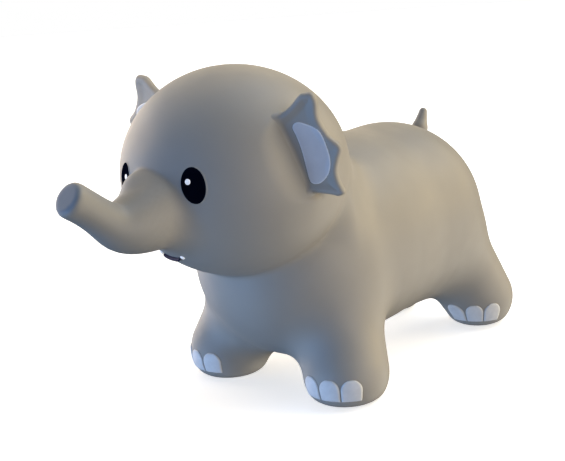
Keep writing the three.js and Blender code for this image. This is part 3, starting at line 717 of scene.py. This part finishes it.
# %% [markdown]
# ## Eyes
# Each eye is a black oval that leans inward at its top, with a round white glint and a narrow moulded rim
# of bare vinyl.

# %% Eyes and glints
# Lowest and highest shell, round of the edge, and cell
EYE_FILM, GLINT_FILM = (-0.0012, 0.0008, 0.0012, 0.0007), (-0.0004, 0.0012, 0.0007, 0.00035)
RIM_FILM, EYE_RIM = (-0.0012, 0.0004, 0.0010, 0.0007), 0.0011
EYE_X, EYE_RISE, EYE_LEAN, EYE_W, EYE_H = 0.0465, 0.0045, math.radians(8), 0.0123, 0.0171
GLINT_IN, GLINT_UP, GLINT_R, DOT_POINTS = 0.0044, 0.0042, 0.0028, 32
for word, side in SIDES:
    place = touching(side * EYE_X, EYE_RISE, side * EYE_LEAN)
    glint_line = oval(GLINT_R, GLINT_R, DOT_POINTS) + (-side * GLINT_IN, GLINT_UP)
    rim_line = oval(EYE_W + EYE_RIM, EYE_H + EYE_RIM)
    eye, glint = f"eye_{word}", f"eye_glint_{word}"
    face_pieces += [
        ("eye", eye, lens_piece(eye + "_paint", eye, place, oval(EYE_W, EYE_H), *EYE_FILM)),
        ("glint", glint, lens_piece(glint + "_paint", glint, place, glint_line, *GLINT_FILM)),
        ("rim", None, lens_piece(eye + "_rim", eye, place, rim_line, *RIM_FILM))]
print("eyes:", {o.name: len(o.data.polygons) for kind, node, o in face_pieces})

# %% [markdown]
# ## Mouth
# The mouth is a small dark lip under the trunk, a little to the right, with a white dot at each end. A
# curve object could hold it, but two short formulas do: the upper edge sags a little, and the lower edge is
# level in the middle and rises at both ends.

# %% Lip and dots
LIP_FILM, DOT_FILM = (-0.001, 0.0032, 0.0022, 0.0006), (-0.001, 0.0016, 0.002, 0.0005)
MOUTH_X, MOUTH_DROP, MOUTH_W, MOUTH_H, MOUTH_SAG = -0.016, 0.0715, 0.015, 0.006, 0.25
DOT_R, DOT_ROOM, LIP_POINTS = 0.0026, 0.001, 25
mouth_place = touching(MOUTH_X, -MOUTH_DROP, 0)
s = np.linspace(-1, 1, LIP_POINTS)
lower, upper = MOUTH_H * (s ** 4 - 1), MOUTH_SAG * MOUTH_H * (s * s - 1)
smile = np.vstack((np.stack((s * MOUTH_W, lower), 1), np.stack((s * MOUTH_W, upper), 1)[-2:0:-1]))
face_pieces.append(("lip", "mouth", lens_piece("mouth_lip", "mouth", mouth_place, smile, *LIP_FILM)))
for word, side in SIDES:
    node, aside = f"mouth_dot_{word}", side * (MOUTH_W + DOT_R + DOT_ROOM)
    dot_line = oval(DOT_R, DOT_R, DOT_POINTS) + (aside, 0)
    face_pieces.append(("dot", node, lens_piece(node + "_paint", node, mouth_place, dot_line, *DOT_FILM)))
print("mouth:", {o.name: len(o.data.polygons) for kind, node, o in face_pieces if kind in ("lip", "dot")})

# %% [markdown]
# ## A helper for node trees
# Nodes are usually joined by hand in the editor. A script that does the same gets long, so a small class
# adds a node, sets its inputs and links it in one call. Another helper runs a Geometry Nodes tree on a host
# mesh and keeps the result as a plain mesh.

# %% Node helper
class Tree:
    """A short way to write node trees."""

    def __init__(self, tree):
        self.tree = tree

    def add(self, kind, inputs=None, **settings):
        node = self.tree.nodes.new(kind)
        for key, value in settings.items():
            setattr(node, key, value)
        for key, value in (inputs or {}).items():
            socket = node.inputs[key]
            if isinstance(value, bpy.types.NodeSocket):
                self.tree.links.new(value, socket)
            else:
                socket.default_value = value
        return node

    def geometry(self, kind, inputs=None, **settings):
        return self.add("GeometryNode" + kind, inputs, **settings).outputs[0]

    def math(self, operation, a, b=0.0):
        return self.add("ShaderNodeMath", {0: a, 1: b}, operation=operation).outputs[0]

    def vector(self, operation, inputs):
        return self.add("ShaderNodeVectorMath", inputs, operation=operation).outputs

    def noise(self, where, scale, **inputs):
        return self.add("ShaderNodeTexNoise", {"Vector": where, "Scale": scale, **inputs}).outputs["Fac"]

    def ramp(self, value, low, high, first=0.0, last=1.0):
        inputs = {"Value": value, "From Min": low, "From Max": high, "To Min": first, "To Max": last}
        return self.add("ShaderNodeMapRange", inputs).outputs[0]

    def mix(self, share, one, two):
        """One colour where the share is 0 and the other where it is 1."""
        one, two = ((*c, 1) if isinstance(c, tuple) else c for c in (one, two))
        return self.add("ShaderNodeMix", {"Factor": share, 6: one, 7: two}, data_type="RGBA").outputs[2]


def nodes_tree(name, inputs):
    """An empty Geometry Nodes tree and the identifiers of its inputs."""
    tree = bpy.data.node_groups.new(name, "GeometryNodeTree")
    tree.interface.new_socket("Geometry", in_out="INPUT", socket_type="NodeSocketGeometry")
    ids = {}
    for label, kind in inputs:
        socket = tree.interface.new_socket(label, in_out="INPUT", socket_type="NodeSocket" + kind)
        ids[label] = socket.identifier
    tree.interface.new_socket("Geometry", in_out="OUTPUT", socket_type="NodeSocketGeometry")
    return tree, ids


def grown(name, host, tree, ids, values):
    """Runs a tree on a host mesh with these input values and returns the result as a plain piece."""
    holder = in_scene(name + "_host", host)
    modifier = holder.modifiers.new("grow", "NODES")
    modifier.node_group = tree
    for label, value in values.items():
        modifier[ids[label]] = value
    made = holder.evaluated_get(bpy.context.evaluated_depsgraph_get())
    mesh = bpy.data.meshes.new_from_object(made)
    holder.modifiers.remove(modifier)
    bpy.data.objects.remove(holder)
    mesh.name = name
    return in_scene(name, mesh)


print("node helper ready")

# %% [markdown]
# ## Toenails, first half of the tree
# Twelve raised nails, three on each foot, repeat by a rule, so Geometry Nodes make them. An Array modifier
# couldn't fit them to round feet. The tree makes three points of each foot's one, turns them apart and sets
# a flat sheet at each. A nail stays on its side of the middle between two, and is round at the top.

# %% Nail sheets
NAILS_PER_FOOT, SHEET_ACROSS, SHEET_UP = 3, 27, 31
nail_tree, nail_ids = nodes_tree("toenails", [
    ("Skin", "Object"), ("Half width", "Float"), ("Low", "Float"), ("Top", "Float"), ("Thickness", "Float"),
    ("Step", "Float"), ("Gap", "Float"), ("Edge", "Float"), ("Paint", "Material")])
T = Tree(nail_tree)
given = T.add("NodeGroupInput").outputs


def kept(geometry, name, value, kind="FLOAT"):
    inputs = {"Geometry": geometry, "Name": name, "Value": value}
    return T.geometry("StoreNamedAttribute", inputs, data_type=kind, domain="POINT")


def read(name, kind="FLOAT"):
    return T.add("GeometryNodeInputNamedAttribute", {"Name": name}, data_type=kind).outputs["Attribute"]


def round_off(share):
    """The height of a quarter circle: 1 at share 0 and 0 at share 1."""
    return T.math("SQRT", T.math("MAXIMUM", T.math("SUBTRACT", 1.0, T.math("MULTIPLY", share, share)), 0.0))


# Three points on each foot, each with the direction that its nail faces
toes = T.add("GeometryNodeDuplicateElements", {"Geometry": given["Geometry"], "Amount": NAILS_PER_FOOT},
             domain="POINT").outputs
turn = T.math("ADD", read("toe_out"), T.math("MULTIPLY", T.math("SUBTRACT", toes[1], 1.0), given["Step"]))
here = T.geometry("InputPosition")
marked = kept(kept(toes[0], "turn", turn), "foot_at", here, "FLOAT_VECTOR")
# One flat sheet, set at each point
sheet = T.geometry("MeshGrid", {
    "Size X": 2.0, "Size Y": 1.0, "Vertices X": SHEET_ACROSS, "Vertices Y": SHEET_UP})
place = T.add("ShaderNodeSeparateXYZ", {0: here}).outputs
sheet = kept(kept(sheet, "across", place[0]), "upward", T.math("ADD", place[1], 0.5))
set_out = T.geometry("InstanceOnPoints", {"Points": marked, "Instance": sheet})
loose = T.geometry("RealizeInstances", {"Geometry": set_out})
# Half the width at each height
across, upward = read("across"), read("upward")
tall = T.math("SUBTRACT", given["Top"], given["Low"])
z = T.math("ADD", given["Low"], T.math("MULTIPLY", upward, tall))
off = T.math("SUBTRACT", z, read("foot_z"))
girth = T.math("SUBTRACT", T.math("MULTIPLY", read("foot_r"), read("foot_r")), T.math("MULTIPLY", off, off))
share = T.math("SINE", T.math("MULTIPLY", given["Step"], 0.5))
room = T.math("SUBTRACT", T.math("MULTIPLY", T.math("SQRT", girth), share), given["Gap"])
shoulder = T.math("SUBTRACT", 1.0, T.math("DIVIDE", given["Half width"], tall))
over = T.math("DIVIDE", T.math("SUBTRACT", upward, shoulder), T.math("SUBTRACT", 1.0, shoulder))
crown = round_off(T.math("MAXIMUM", over, 0.0))
half = T.math("MULTIPLY", T.math("MINIMUM", given["Half width"], room), crown)
print("nail sheets:", len(nail_tree.nodes), "nodes so far")

# %% [markdown]
# ## Toenails, second half of the tree
# A nail is a low dome that falls to nothing along its edge. Rays from outside lay the sheets on the skin,
# as a shrinkwrap would. A second, sunk copy with its faces turned closes each nail underneath.

# %% Nails on the skin
RAY_FROM, RAY_LENGTH, SUNK, UNDERSIDE, WELD = 0.09, 0.2, 0.0003, -0.0012, 0.00003


def moved(start, way, reach):
    return T.vector("ADD", {0: start, 1: T.vector("SCALE", {0: way, "Scale": reach})[0]})[0]


from_side = T.math("MULTIPLY", T.math("SUBTRACT", 1.0, T.math("ABSOLUTE", across)), half)
from_end = T.math("MULTIPLY", T.math("MINIMUM", upward, T.math("SUBTRACT", 1.0, upward)), tall)
risen = T.math("DIVIDE", T.math("MINIMUM", from_side, from_end), given["Edge"])
dome = round_off(T.math("SUBTRACT", 1.0, T.math("MINIMUM", risen, 1.0)))
domed = kept(loose, "dome", dome)
sine, cosine = T.math("SINE", read("turn")), T.math("COSINE", read("turn"))
outward = T.add("ShaderNodeCombineXYZ", {0: sine, 1: T.math("MULTIPLY", cosine, -1.0)}).outputs[0]
sideways = T.add("ShaderNodeCombineXYZ", {0: cosine, 1: sine}).outputs[0]
height = T.add("ShaderNodeCombineXYZ", {2: z}).outputs[0]
lifted = T.vector("ADD", {0: read("foot_at", "FLOAT_VECTOR"), 1: height})[0]
beside = moved(lifted, sideways, T.math("MULTIPLY", across, half))
skin = T.add("GeometryNodeObjectInfo", {"Object": given["Skin"]}).outputs["Geometry"]
inward = T.vector("SCALE", {0: outward, "Scale": -1.0})[0]
ray = T.add("GeometryNodeRaycast", {
    "Target Geometry": skin, "Source Position": moved(beside, outward, RAY_FROM), "Ray Direction": inward,
    "Ray Length": RAY_LENGTH}).outputs
sheets = []
for rise in (given["Thickness"], UNDERSIDE):
    stand = T.math("SUBTRACT", T.math("MULTIPLY", read("dome"), rise), SUNK)
    on_skin = moved(ray["Hit Position"], ray["Hit Normal"], stand)
    sheets.append(T.geometry("SetPosition", {"Geometry": domed, "Position": on_skin}))
under = T.geometry("FlipFaces", {"Mesh": sheets[1]})
joined = T.add("GeometryNodeJoinGeometry")
nail_tree.links.new(under, joined.inputs[0])
nail_tree.links.new(sheets[0], joined.inputs[0])
closed = T.geometry("MergeByDistance", {"Geometry": joined.outputs[0], "Distance": WELD})
smooth = T.geometry("SetShadeSmooth", {"Geometry": closed})
plain = T.geometry("RealizeInstances", {"Geometry": smooth})
painted = T.geometry("SetMaterial", {"Geometry": plain, "Material": given["Paint"]})
T.add("NodeGroupOutput", {"Geometry": painted})
print("toenail tree:", len(nail_tree.nodes), "nodes")

# %% [markdown]
# ## Finishes
# Vinyl is not one flat grey: pigment drifts a little, the mould leaves a fine grain and hands polish some
# places. Paint is smoother. An image texture could show that, but noise needs no picture and has no seams.
# All patterns read Object coordinates, the frame's own metres, so they stay put when a piece moves.

# %% Finish maker
NOISE_LOW, NOISE_HIGH, WEAR_SCALE, GRAIN, GRAIN_DEEP = 0.3, 0.7, 2.7, 1500, 0.0004


def finish_of(name, dark, light, drift, rough, depth, grain=GRAIN, specular=0.5, marks=None, glow=0.0):
    """A finish between two colours and two roughnesses, with a grain. Marks may change the colour further."""
    material = bpy.data.materials.new(name)
    material.use_nodes = True
    material.node_tree.nodes.clear()
    N = Tree(material.node_tree)
    where = N.add("ShaderNodeTexCoord").outputs["Object"]
    pigment = N.noise(where, drift, Detail=4.0, Roughness=0.55)
    colour = N.mix(N.ramp(pigment, NOISE_LOW, NOISE_HIGH), dark, light)
    if marks:
        colour = marks(N, where, colour)
    wear = N.noise(where, WEAR_SCALE * drift, Detail=3.0)
    height = N.noise(where, grain, Detail=2.0)
    bump = N.add("ShaderNodeBump", {"Height": height, "Strength": depth, "Distance": GRAIN_DEEP}).outputs[0]
    shader = N.add("ShaderNodeBsdfPrincipled", {
        "Base Color": colour, "Roughness": N.ramp(wear, NOISE_LOW, NOISE_HIGH, *rough), "Normal": bump,
        "Specular IOR Level": specular, "Emission Color": (1, 1, 1, 1), "Emission Strength": glow})
    N.add("ShaderNodeOutputMaterial", {"Surface": shader.outputs[0]})
    return material


print("finish maker ready")

# %% [markdown]
# ## Marks of use and painted shade
# Soles pick up dirt. Painted shade darkens the trunk towards its tip, and a darker, bluer painted shade lies
# on its flat end. Painted shade also darkens each nail along its edge, and the ear's paint is lightest along
# its own. Vertex colours could be brushed on. Here heights, planes and attributes on the points say where
# each mark lies.

# %% Marks of use and painted shade
DIRT, DIRT_HIGH, DIRT_SHARE, SCUFF_SCALE = (0.10, 0.092, 0.08), 0.006, 0.55, 90.0
# Painted shade on the trunk, darker towards its tip: its colour, where it starts and ends, and its share
TRUNK_SHADE, TRUNK_SHADE_FROM, TRUNK_SHADE_TO, TRUNK_SHADE_SHARE = (0.20, 0.205, 0.205), FACE_Y - 0.006, FACE_Y - 0.040, 0.55
# Painted shade on the trunk's flat end, darker and bluer than the rest of the skin
END_SHADE, END_SHADE_FROM, END_SHADE_TO = (0.165, 0.20, 0.235), 0.0026, 0.0004  # depths below the plane of the trunk's end
# The first colour is painted shade along each nail's edge; the last is the ear patch's paint at its rim
NAIL_EDGE_SHADE, EDGE_SHADE_DOME, EDGE_SHADE_SHARE, RIM_PAINT = (0.20, 0.205, 0.225), 0.75, 0.75, (0.86, 0.86, 0.86)


def skin_marks(N, where, colour):
    place = N.add("ShaderNodeSeparateXYZ", {0: where}).outputs
    scuff = N.noise(where, SCUFF_SCALE, Detail=5.0)
    colour = N.mix(N.math("MULTIPLY", N.ramp(place[2], 0.0, DIRT_HIGH, DIRT_SHARE, 0.0), scuff), colour, DIRT)
    # Painted shade: the trunk gets darker towards its tip
    colour = N.mix(N.ramp(place[1], TRUNK_SHADE_FROM, TRUNK_SHADE_TO, 0.0, TRUNK_SHADE_SHARE), colour, TRUNK_SHADE)
    # Painted shade on the trunk's flat end, darker and bluer
    ahead = N.vector("DOT_PRODUCT", {0: where, 1: tuple(trunk_way)})["Value"]
    tip = float(trunk_tip @ trunk_way)
    return N.mix(N.ramp(ahead, tip - END_SHADE_FROM, tip - END_SHADE_TO), colour, END_SHADE)


def nail_edge_shade(N, where, colour):
    # Painted shade along the nail's edge, where its dome is low
    dome = N.add("ShaderNodeAttribute", attribute_name="dome").outputs["Fac"]
    return N.mix(N.ramp(dome, 0.0, EDGE_SHADE_DOME, EDGE_SHADE_SHARE, 0.0), colour, NAIL_EDGE_SHADE)


def patch_rim(N, where, colour):
    return N.mix(N.add("ShaderNodeAttribute", attribute_name="rim").outputs["Fac"], colour, RIM_PAINT)


print("marks:", [f.__name__ for f in (skin_marks, nail_edge_shade, patch_rim)])

# %% [markdown]
# ## The finishes of this toy
# The vinyl is a warm, soft grey. The eyes are dull black ink without a shine, the dots and glints a clear
# white that glows a little, which is painted light, the lip navy, the nails and ear patches an off-white, and
# the plug a stiffer, paler vinyl.

# %% The finishes
grey_vinyl = finish_of(
    "grey_vinyl", (0.312, 0.292, 0.258), (0.328, 0.307, 0.273), 16, (0.44, 0.54), 0.10, marks=skin_marks)
pale_paint = finish_of(
    "pale_ear_paint", (0.53, 0.525, 0.545), (0.58, 0.575, 0.59), 60, (0.42, 0.5), 0.06, 1800, marks=patch_rim)
eye_paint = finish_of(
    "dark_eye_paint", (0.0012, 0.0016, 0.005), (0.002, 0.003, 0.008), 120, (0.35, 0.45), 0.03, 900,
    specular=0.0)
# The glints and dots glow a little: painted light that keeps them bright white
white_paint = finish_of(
    "white_dot_paint", (0.80, 0.81, 0.84), (0.88, 0.88, 0.90), 300, (0.25, 0.32), 0.03, glow=0.3)
lip_paint = finish_of(
    "navy_lip_paint", (0.010, 0.013, 0.045), (0.018, 0.022, 0.07), 150, (0.4, 0.5), 0.05, specular=0.1)
nail_paint = finish_of(
    "toenail_paint", (0.67, 0.665, 0.655), (0.75, 0.745, 0.735), 120, (0.38, 0.48), 0.06, marks=nail_edge_shade)
plug_vinyl = finish_of("plug_vinyl", (0.62, 0.60, 0.56), (0.70, 0.68, 0.64), 150, (0.4, 0.5), 0.08)
print("finishes:", [m.name for m in bpy.data.materials if m.use_nodes])

# %% [markdown]
# ## Growing the nails
# The host mesh has one point under each foot. What differs from foot to foot is stored on the points: how
# far the toes turn out, and the round foot's size and height, which say how much room three nails have.

# %% Grow the toenails
FRONT_TOE_OUT, REAR_TOE_OUT, NAIL_STEP = math.radians(15), math.radians(26), math.radians(30)
NAIL_HALF, NAIL_THICK, NAIL_GAP, NAIL_EDGE = 0.0114, 0.0015, 0.0002, 0.0026
feet_rows = [(side, foot, foot_r, side * toe_out) for foot, foot_r, toe_out in (
    (FRONT_FOOT, FRONT_FOOT_R, FRONT_TOE_OUT), (REAR_FOOT, REAR_FOOT_R, REAR_TOE_OUT)) for side in (1, -1)]
feet = bpy.data.meshes.new("feet_points")
feet.from_pydata([(side * foot[0], foot[1], 0) for side, foot, foot_r, toe_out in feet_rows], [], [])
for label, values in (("toe_out", [row[3] for row in feet_rows]), ("foot_r", [row[2] for row in feet_rows]),
                      ("foot_z", [row[1][2] for row in feet_rows])):
    feet.attributes.new(label, "FLOAT", "POINT").data.foreach_set("value", values)
nail_low, nail_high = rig.box("nail_front_left_middle")
toenails = grown("toenails", feet, nail_tree, nail_ids, {
    "Skin": skin_whole, "Half width": NAIL_HALF, "Low": nail_low[2], "Top": nail_high[2],
    "Thickness": NAIL_THICK, "Step": NAIL_STEP, "Gap": NAIL_GAP, "Edge": NAIL_EDGE, "Paint": nail_paint})
bpy.data.objects.remove(skin_whole)
print("toenails:", len(toenails.data.polygons), "faces")

# %% [markdown]
# ## Air valve
# Air goes in through a soft seat in the belly, and a push-in plug closes it. The photo hides both, so they
# are plain: a flange on the skin, a sleeve, and a capped plug with a thumb dish and a bar to pull. Lathed
# profiles would do for the plug, but the flange is a film around the skin's own field, so it bends with the
# belly.

# %% Seat and plug
FLANGE_R, FLANGE_T, FLANGE_SUNK, SLEEVE_R, BORE_R = 0.013, 0.0016, 0.0015, 0.0080, 0.0045
CAP_R, CAP_T, STEM_R, STEM_SLIM, STEM_LAP = 0.0076, 0.0024, 0.0042, 0.0010, 0.001
DISH_R, DISH_DEEP, BAR_R, BAR_HALF = 0.0160, 0.0010, 0.0009, 0.0042
SEAT_FLOW, BORE_ROUND, CAP_ROUND, STEM_ROUND, PLUG_FLOW = 0.001, 0.0008, 0.0012, 0.001, 0.0006
VALVE_CELL, VALVE_ROOM = 0.0004, 0.002
plug_low, plug_high = (np.array(v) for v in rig.box("air_plug"))


def from_axis(p):
    return np.hypot(p[:, 0] - VALVE[0], p[:, 1] - VALVE[1])


def seat_form(p):
    height, away = skin_form(p), from_axis(p)
    flange = soft_trim(np.maximum(height - FLANGE_T, -height - FLANGE_SUNK), away - FLANGE_R, FLANGE_T)
    sleeve = np.maximum(away - SLEEVE_R, np.maximum(height, p[:, 2] - seat_high[2]))
    return soft_trim(soft_join(flange, sleeve, SEAT_FLOW), BORE_R - away, BORE_ROUND)


def plug_form(p):
    away, z = from_axis(p), p[:, 2]
    cap_top = plug_low[2] + CAP_T
    cap = soft_trim(np.maximum(plug_low[2] - z, z - cap_top), away - CAP_R, CAP_ROUND)
    dish = DISH_R - np.hypot(away, z - plug_low[2] + DISH_R - DISH_DEEP)
    bar = np.sqrt(np.maximum(np.abs(p[:, 0] - VALVE[0]) - BAR_HALF, 0) ** 2 + (p[:, 1] - VALVE[1]) ** 2
                  + (z - plug_low[2] - BAR_R) ** 2) - BAR_R
    slim = STEM_R - STEM_SLIM * np.clip((z - VALVE[2]) / (plug_high[2] - VALVE[2]), 0, 1)
    stem = soft_trim(np.maximum(cap_top - STEM_LAP - z, z - plug_high[2]), away - slim, STEM_ROUND)
    return soft_join(soft_join(soft_trim(cap, dish, PLUG_FLOW), bar, PLUG_FLOW), stem, PLUG_FLOW)


seat, plug = (make_piece(name, *skin_over(form, low - VALVE_ROOM, high + VALVE_ROOM, VALVE_CELL), form)
              for name, form, low, high in (("valve_seat_ring", seat_form, seat_low, seat_high),
                                            ("air_plug_cap", plug_form, plug_low, plug_high)))
print("valve:", [len(o.data.polygons) for o in (seat, plug)], "faces")

# %% [markdown]
# ## Grip ribs
# Small ribs around the cap let wet fingers hold it. An array around an empty could repeat one rib. A second
# tree does it with a ring of points and one stretched bead.

# %% Grip ribs
RIBS, RIB_SUNK, RIB_R, RIB_HALF, BEAD_SEGMENTS, BEAD_RINGS = 24, 0.0001, 0.00045, 0.0009, 16, 12
rib_tree, rib_ids = nodes_tree("grip_ribs", [
    ("Ribs", "Int"), ("Ring radius", "Float"), ("Rib radius", "Float"), ("Rib height", "Float"),
    ("Middle", "Vector"), ("Paint", "Material")])
T = Tree(rib_tree)
given = T.add("NodeGroupInput").outputs
ring = T.geometry("MeshCircle", {"Vertices": given["Ribs"], "Radius": given["Ring radius"]})
bead = T.geometry("MeshUVSphere", {
    "Segments": BEAD_SEGMENTS, "Rings": BEAD_RINGS, "Radius": given["Rib radius"]})
taller = T.math("DIVIDE", given["Rib height"], given["Rib radius"])
stretch = T.add("ShaderNodeCombineXYZ", {0: 1.0, 1: 1.0, 2: taller}).outputs[0]
ribs = T.geometry("InstanceOnPoints", {"Points": ring, "Instance": bead, "Scale": stretch})
placed = T.geometry("Transform", {"Geometry": ribs, "Translation": given["Middle"]})
plain = T.geometry("RealizeInstances", {"Geometry": placed})
smooth = T.geometry("SetShadeSmooth", {"Geometry": plain})
painted = T.geometry("SetMaterial", {"Geometry": smooth, "Material": given["Paint"]})
T.add("NodeGroupOutput", {"Geometry": painted})
grip = grown("plug_grip_ribs", bpy.data.meshes.new("grip_host"), rib_tree, rib_ids, {
    "Ribs": RIBS, "Ring radius": CAP_R - RIB_SUNK, "Rib radius": RIB_R, "Rib height": RIB_HALF,
    "Middle": (VALVE[0], VALVE[1], plug_low[2] + CAP_T / 2), "Paint": plug_vinyl})
print("ribs:", len(grip.data.polygons), "faces")

# %% [markdown]
# ## Riding and bending
# Each piece gets its finish, says which solids it stands for, and rides on the body that carries it. An
# armature could bend the soft roots. The frame does it with a blend between two bodies: a leg from foot to
# body, an ear or the tail from the body at its root to its own body.

# %% Everything rides on its body
ROOT_CALM, TAIL_CALM = 0.010, 0.008


def dress(piece, material, slot, *nodes):
    piece.data.materials.clear()
    piece.data.materials.append(material)
    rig.slot(piece, slot)
    if nodes:
        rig.replaces(piece, *nodes)


dress(body_skin, grey_vinyl, "grey_vinyl", "torso_skin", "head_skin", "trunk_skin")
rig.ride(body_skin, "body")
for (node, start, end), piece in zip(legs, leg_skins):
    dress(piece, grey_vinyl, "grey_vinyl", node)
    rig.blend(piece, "feet", "body", start=start, end=end)
for ear in EARS:
    start, end = ear.pivot * ear.mirror, (ear.pivot + ROOT_CALM * ear.out) * ear.mirror
    for made, paint, slot, node in ((ears, grey_vinyl, "grey_vinyl", "ear_"),
                                    (patches, pale_paint, "pale_paint", "ear_patch_")):
        dress(made[ear.word], paint, slot, node + ear.word)
        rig.blend(made[ear.word], "body", ear.word + "_ear", start=start, end=end)
dress(tail, grey_vinyl, "grey_vinyl", "tail")
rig.blend(tail, "body", "tail_leaf", start=TAIL_BASE, end=TAIL_BASE + TAIL_CALM * tail_way)
white, grey = (white_paint, "white_paint"), (grey_vinyl, "grey_vinyl")
paints = {"eye": (eye_paint, "black_paint"), "glint": white, "rim": grey, "dot": white,
          "lip": (lip_paint, "navy_paint")}
for kind, node, piece in face_pieces:
    dress(piece, *paints[kind], *([node] if node else []))
    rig.ride(piece, "body")
dress(toenails, nail_paint, "nail_paint", *[n for n in frame["nodes"] if n.startswith("nail_")])
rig.ride(toenails, "feet")
dress(seat, grey_vinyl, "valve_vinyl", "valve_seat")
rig.ride(seat, "body")
for piece, nodes in ((plug, ["air_plug"]), (grip, [])):
    dress(piece, plug_vinyl, "plug_vinyl", *nodes)
    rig.ride(piece, "plug")
print("pieces:", len(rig.pieces()))

# %% [markdown]
# ## Camera
# The photograph was taken from the front left, a little above and slightly tilted, with a short telephoto
# lens. A Track To constraint could aim the camera. Its axes are written out here, so the tilt is exact.

# %% Camera
AZIMUTH, ELEVATION, ROLL = math.radians(42.0), math.radians(11.98), math.radians(-4.0)
TARGET, DISTANCE, CLIP_START, CLIP_END = Vector((-0.0335, 0.0156, 0.1556)), 1.1418, 0.05, 50
SENSOR, FOCAL_PX, WIDTH_PX = 36.0, 1033.5, 565
level = math.cos(ELEVATION)
back = Vector((math.sin(AZIMUTH) * level, -math.cos(AZIMUTH) * level, math.sin(ELEVATION)))
right = Vector((math.cos(AZIMUTH), math.sin(AZIMUTH), 0))
up = back.cross(right)
right, up = right * math.cos(ROLL) + up * math.sin(ROLL), up * math.cos(ROLL) - right * math.sin(ROLL)
camera = bpy.data.cameras.new("camera")
camera.sensor_width, camera.lens = SENSOR, FOCAL_PX * SENSOR / WIDTH_PX
camera.clip_start, camera.clip_end = CLIP_START, CLIP_END
viewer = in_scene("camera", camera)
aimed = Matrix((right, up, back)).transposed().to_4x4()
viewer.matrix_world = Matrix.Translation(TARGET + DISTANCE * back) @ aimed
bpy.context.scene.camera = viewer
print("lens", round(camera.lens, 2), "mm")

# %% [markdown]
# ## Floor
# The toy in the photograph stands on plain white. A shadow catcher could do that. Here a large pale floor
# glows a little, so that only a faint shadow is left on it. It throws no light back at the toy, and neither
# do the white surroundings.

# %% Floor and surroundings
FLOOR_REACH = 60.0
floor_mesh = bpy.data.meshes.new("floor")
corners = [(x * FLOOR_REACH, y * FLOOR_REACH, 0) for x, y in ((-1, -1), (1, -1), (1, 1), (-1, 1))]
floor_mesh.from_pydata(corners, [], [(0, 1, 2, 3)])
floor_mesh.materials.append(finish_of(
    "floor_white", (0.86, 0.86, 0.86), (0.88, 0.88, 0.88), 2, (0.7, 0.8), 0.02, 200, specular=0.2, glow=0.62))
floor = in_scene("floor", floor_mesh)
floor.visible_diffuse = floor.visible_glossy = floor.visible_shadow = False
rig.stage(floor)
world = bpy.data.worlds.new("studio")
bpy.context.scene.world = world
world.use_nodes = True
world.node_tree.nodes["Background"].inputs["Color"].default_value = (1, 1, 1, 1)
world.node_tree.nodes["Background"].inputs["Strength"].default_value = 1.0
world.cycles_visibility.diffuse = world.cycles_visibility.glossy = False
bpy.context.scene.view_settings.view_transform = "Standard"
print("floor", 2 * FLOOR_REACH, "m wide")

# %% [markdown]
# ## Light
# The flank is lit warm from the left and rear, the back cool from above, the face and chest cool from the
# front right, and the far cheek warm again. Area lamps could do that, but their light falls off along the
# toy. Sun lamps with broad discs don't, and keep every shadow soft. Two small spots pick out the far ear and
# brow.

# %% Lights
LAMP_SPREAD, SPOT_DISTANCE, SPOT_SOFT, SPOT_BLEND = 60, 1.2, 0.05, 1.0


def way_of(azimuth, elevation):
    """Direction towards a light: azimuth from the left to the rear, elevation from the floor."""
    a, e = math.radians(azimuth), math.radians(elevation)
    return Vector((math.cos(a) * math.cos(e), math.sin(a) * math.cos(e), math.sin(e)))


def place_light(name, data, towards):
    light = in_scene(name, data)
    light.rotation_mode = "QUATERNION"
    light.rotation_quaternion = towards.to_track_quat("Z", "Y")
    return light


def lamp(name, azimuth, elevation, power, spread=LAMP_SPREAD):
    """A far, wide, soft light with its power in red, green and blue."""
    data = bpy.data.lights.new(name, "SUN")
    data.energy, data.angle = max(power), math.radians(spread)
    data.color = [v / max(power) for v in power]
    place_light(name, data, way_of(azimuth, elevation))


def spot(name, target, azimuth, elevation, reach, watts, colour):
    """A small soft light that picks out one place, with a round of the given reach around it."""
    data = bpy.data.lights.new(name, "SPOT")
    data.energy, data.color, data.shadow_soft_size = watts, colour, SPOT_SOFT
    data.spot_size, data.spot_blend = 2 * math.atan(reach / SPOT_DISTANCE), SPOT_BLEND
    towards = way_of(azimuth, elevation)
    place_light(name, data, towards).location = Vector(target) + SPOT_DISTANCE * towards


lamp("near_high", 54, 30, (2.35, 1.80, 0.91))
lamp("near_low", 54, -30, (1.26, 1.23, 1.14))
lamp("left", 0, 0, (1.53, 1.43, 1.33))
lamp("rear_high", 60, 60, (0.57, 0.95, 1.48))
lamp("far", 180, 0, (1.22, 1.12, 1.12))
lamp("far_high", 162, 30, (2.02, 1.65, 1.14), 1.5 * LAMP_SPREAD)
lamp("cool_front", 252, 0, (0.42, 0.83, 1.67))
lamp("cool_low", 234, -30, (0.66, 0.88, 1.22))
spot("far_ear_spot", (-0.122, -0.105, 0.282), 282, 24, reach=0.065, watts=72, colour=(1.0, 0.82, 0.58))
spot("far_brow_spot", (-0.085, -0.135, 0.262), 200, 22, reach=0.085, watts=20, colour=(1.0, 0.62, 0.15))
print("lamps:", [o.name for o in bpy.data.objects if o.type == "LIGHT"])

# %% [markdown]
# ## Sizes
# The dressed toy has to fill the same box as the solids, because both are the same object. The last cell
# measures both, writes them down and hands the scene over.

# %% Sizes and finish
with open("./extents.json", "w") as f:
    json.dump({"cad": [list(v) for v in CAD_BOX], "visual": [list(v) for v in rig.bounds()]}, f, indent=1)
print("dressed box", [[round(x, 4) for x in v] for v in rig.bounds()])
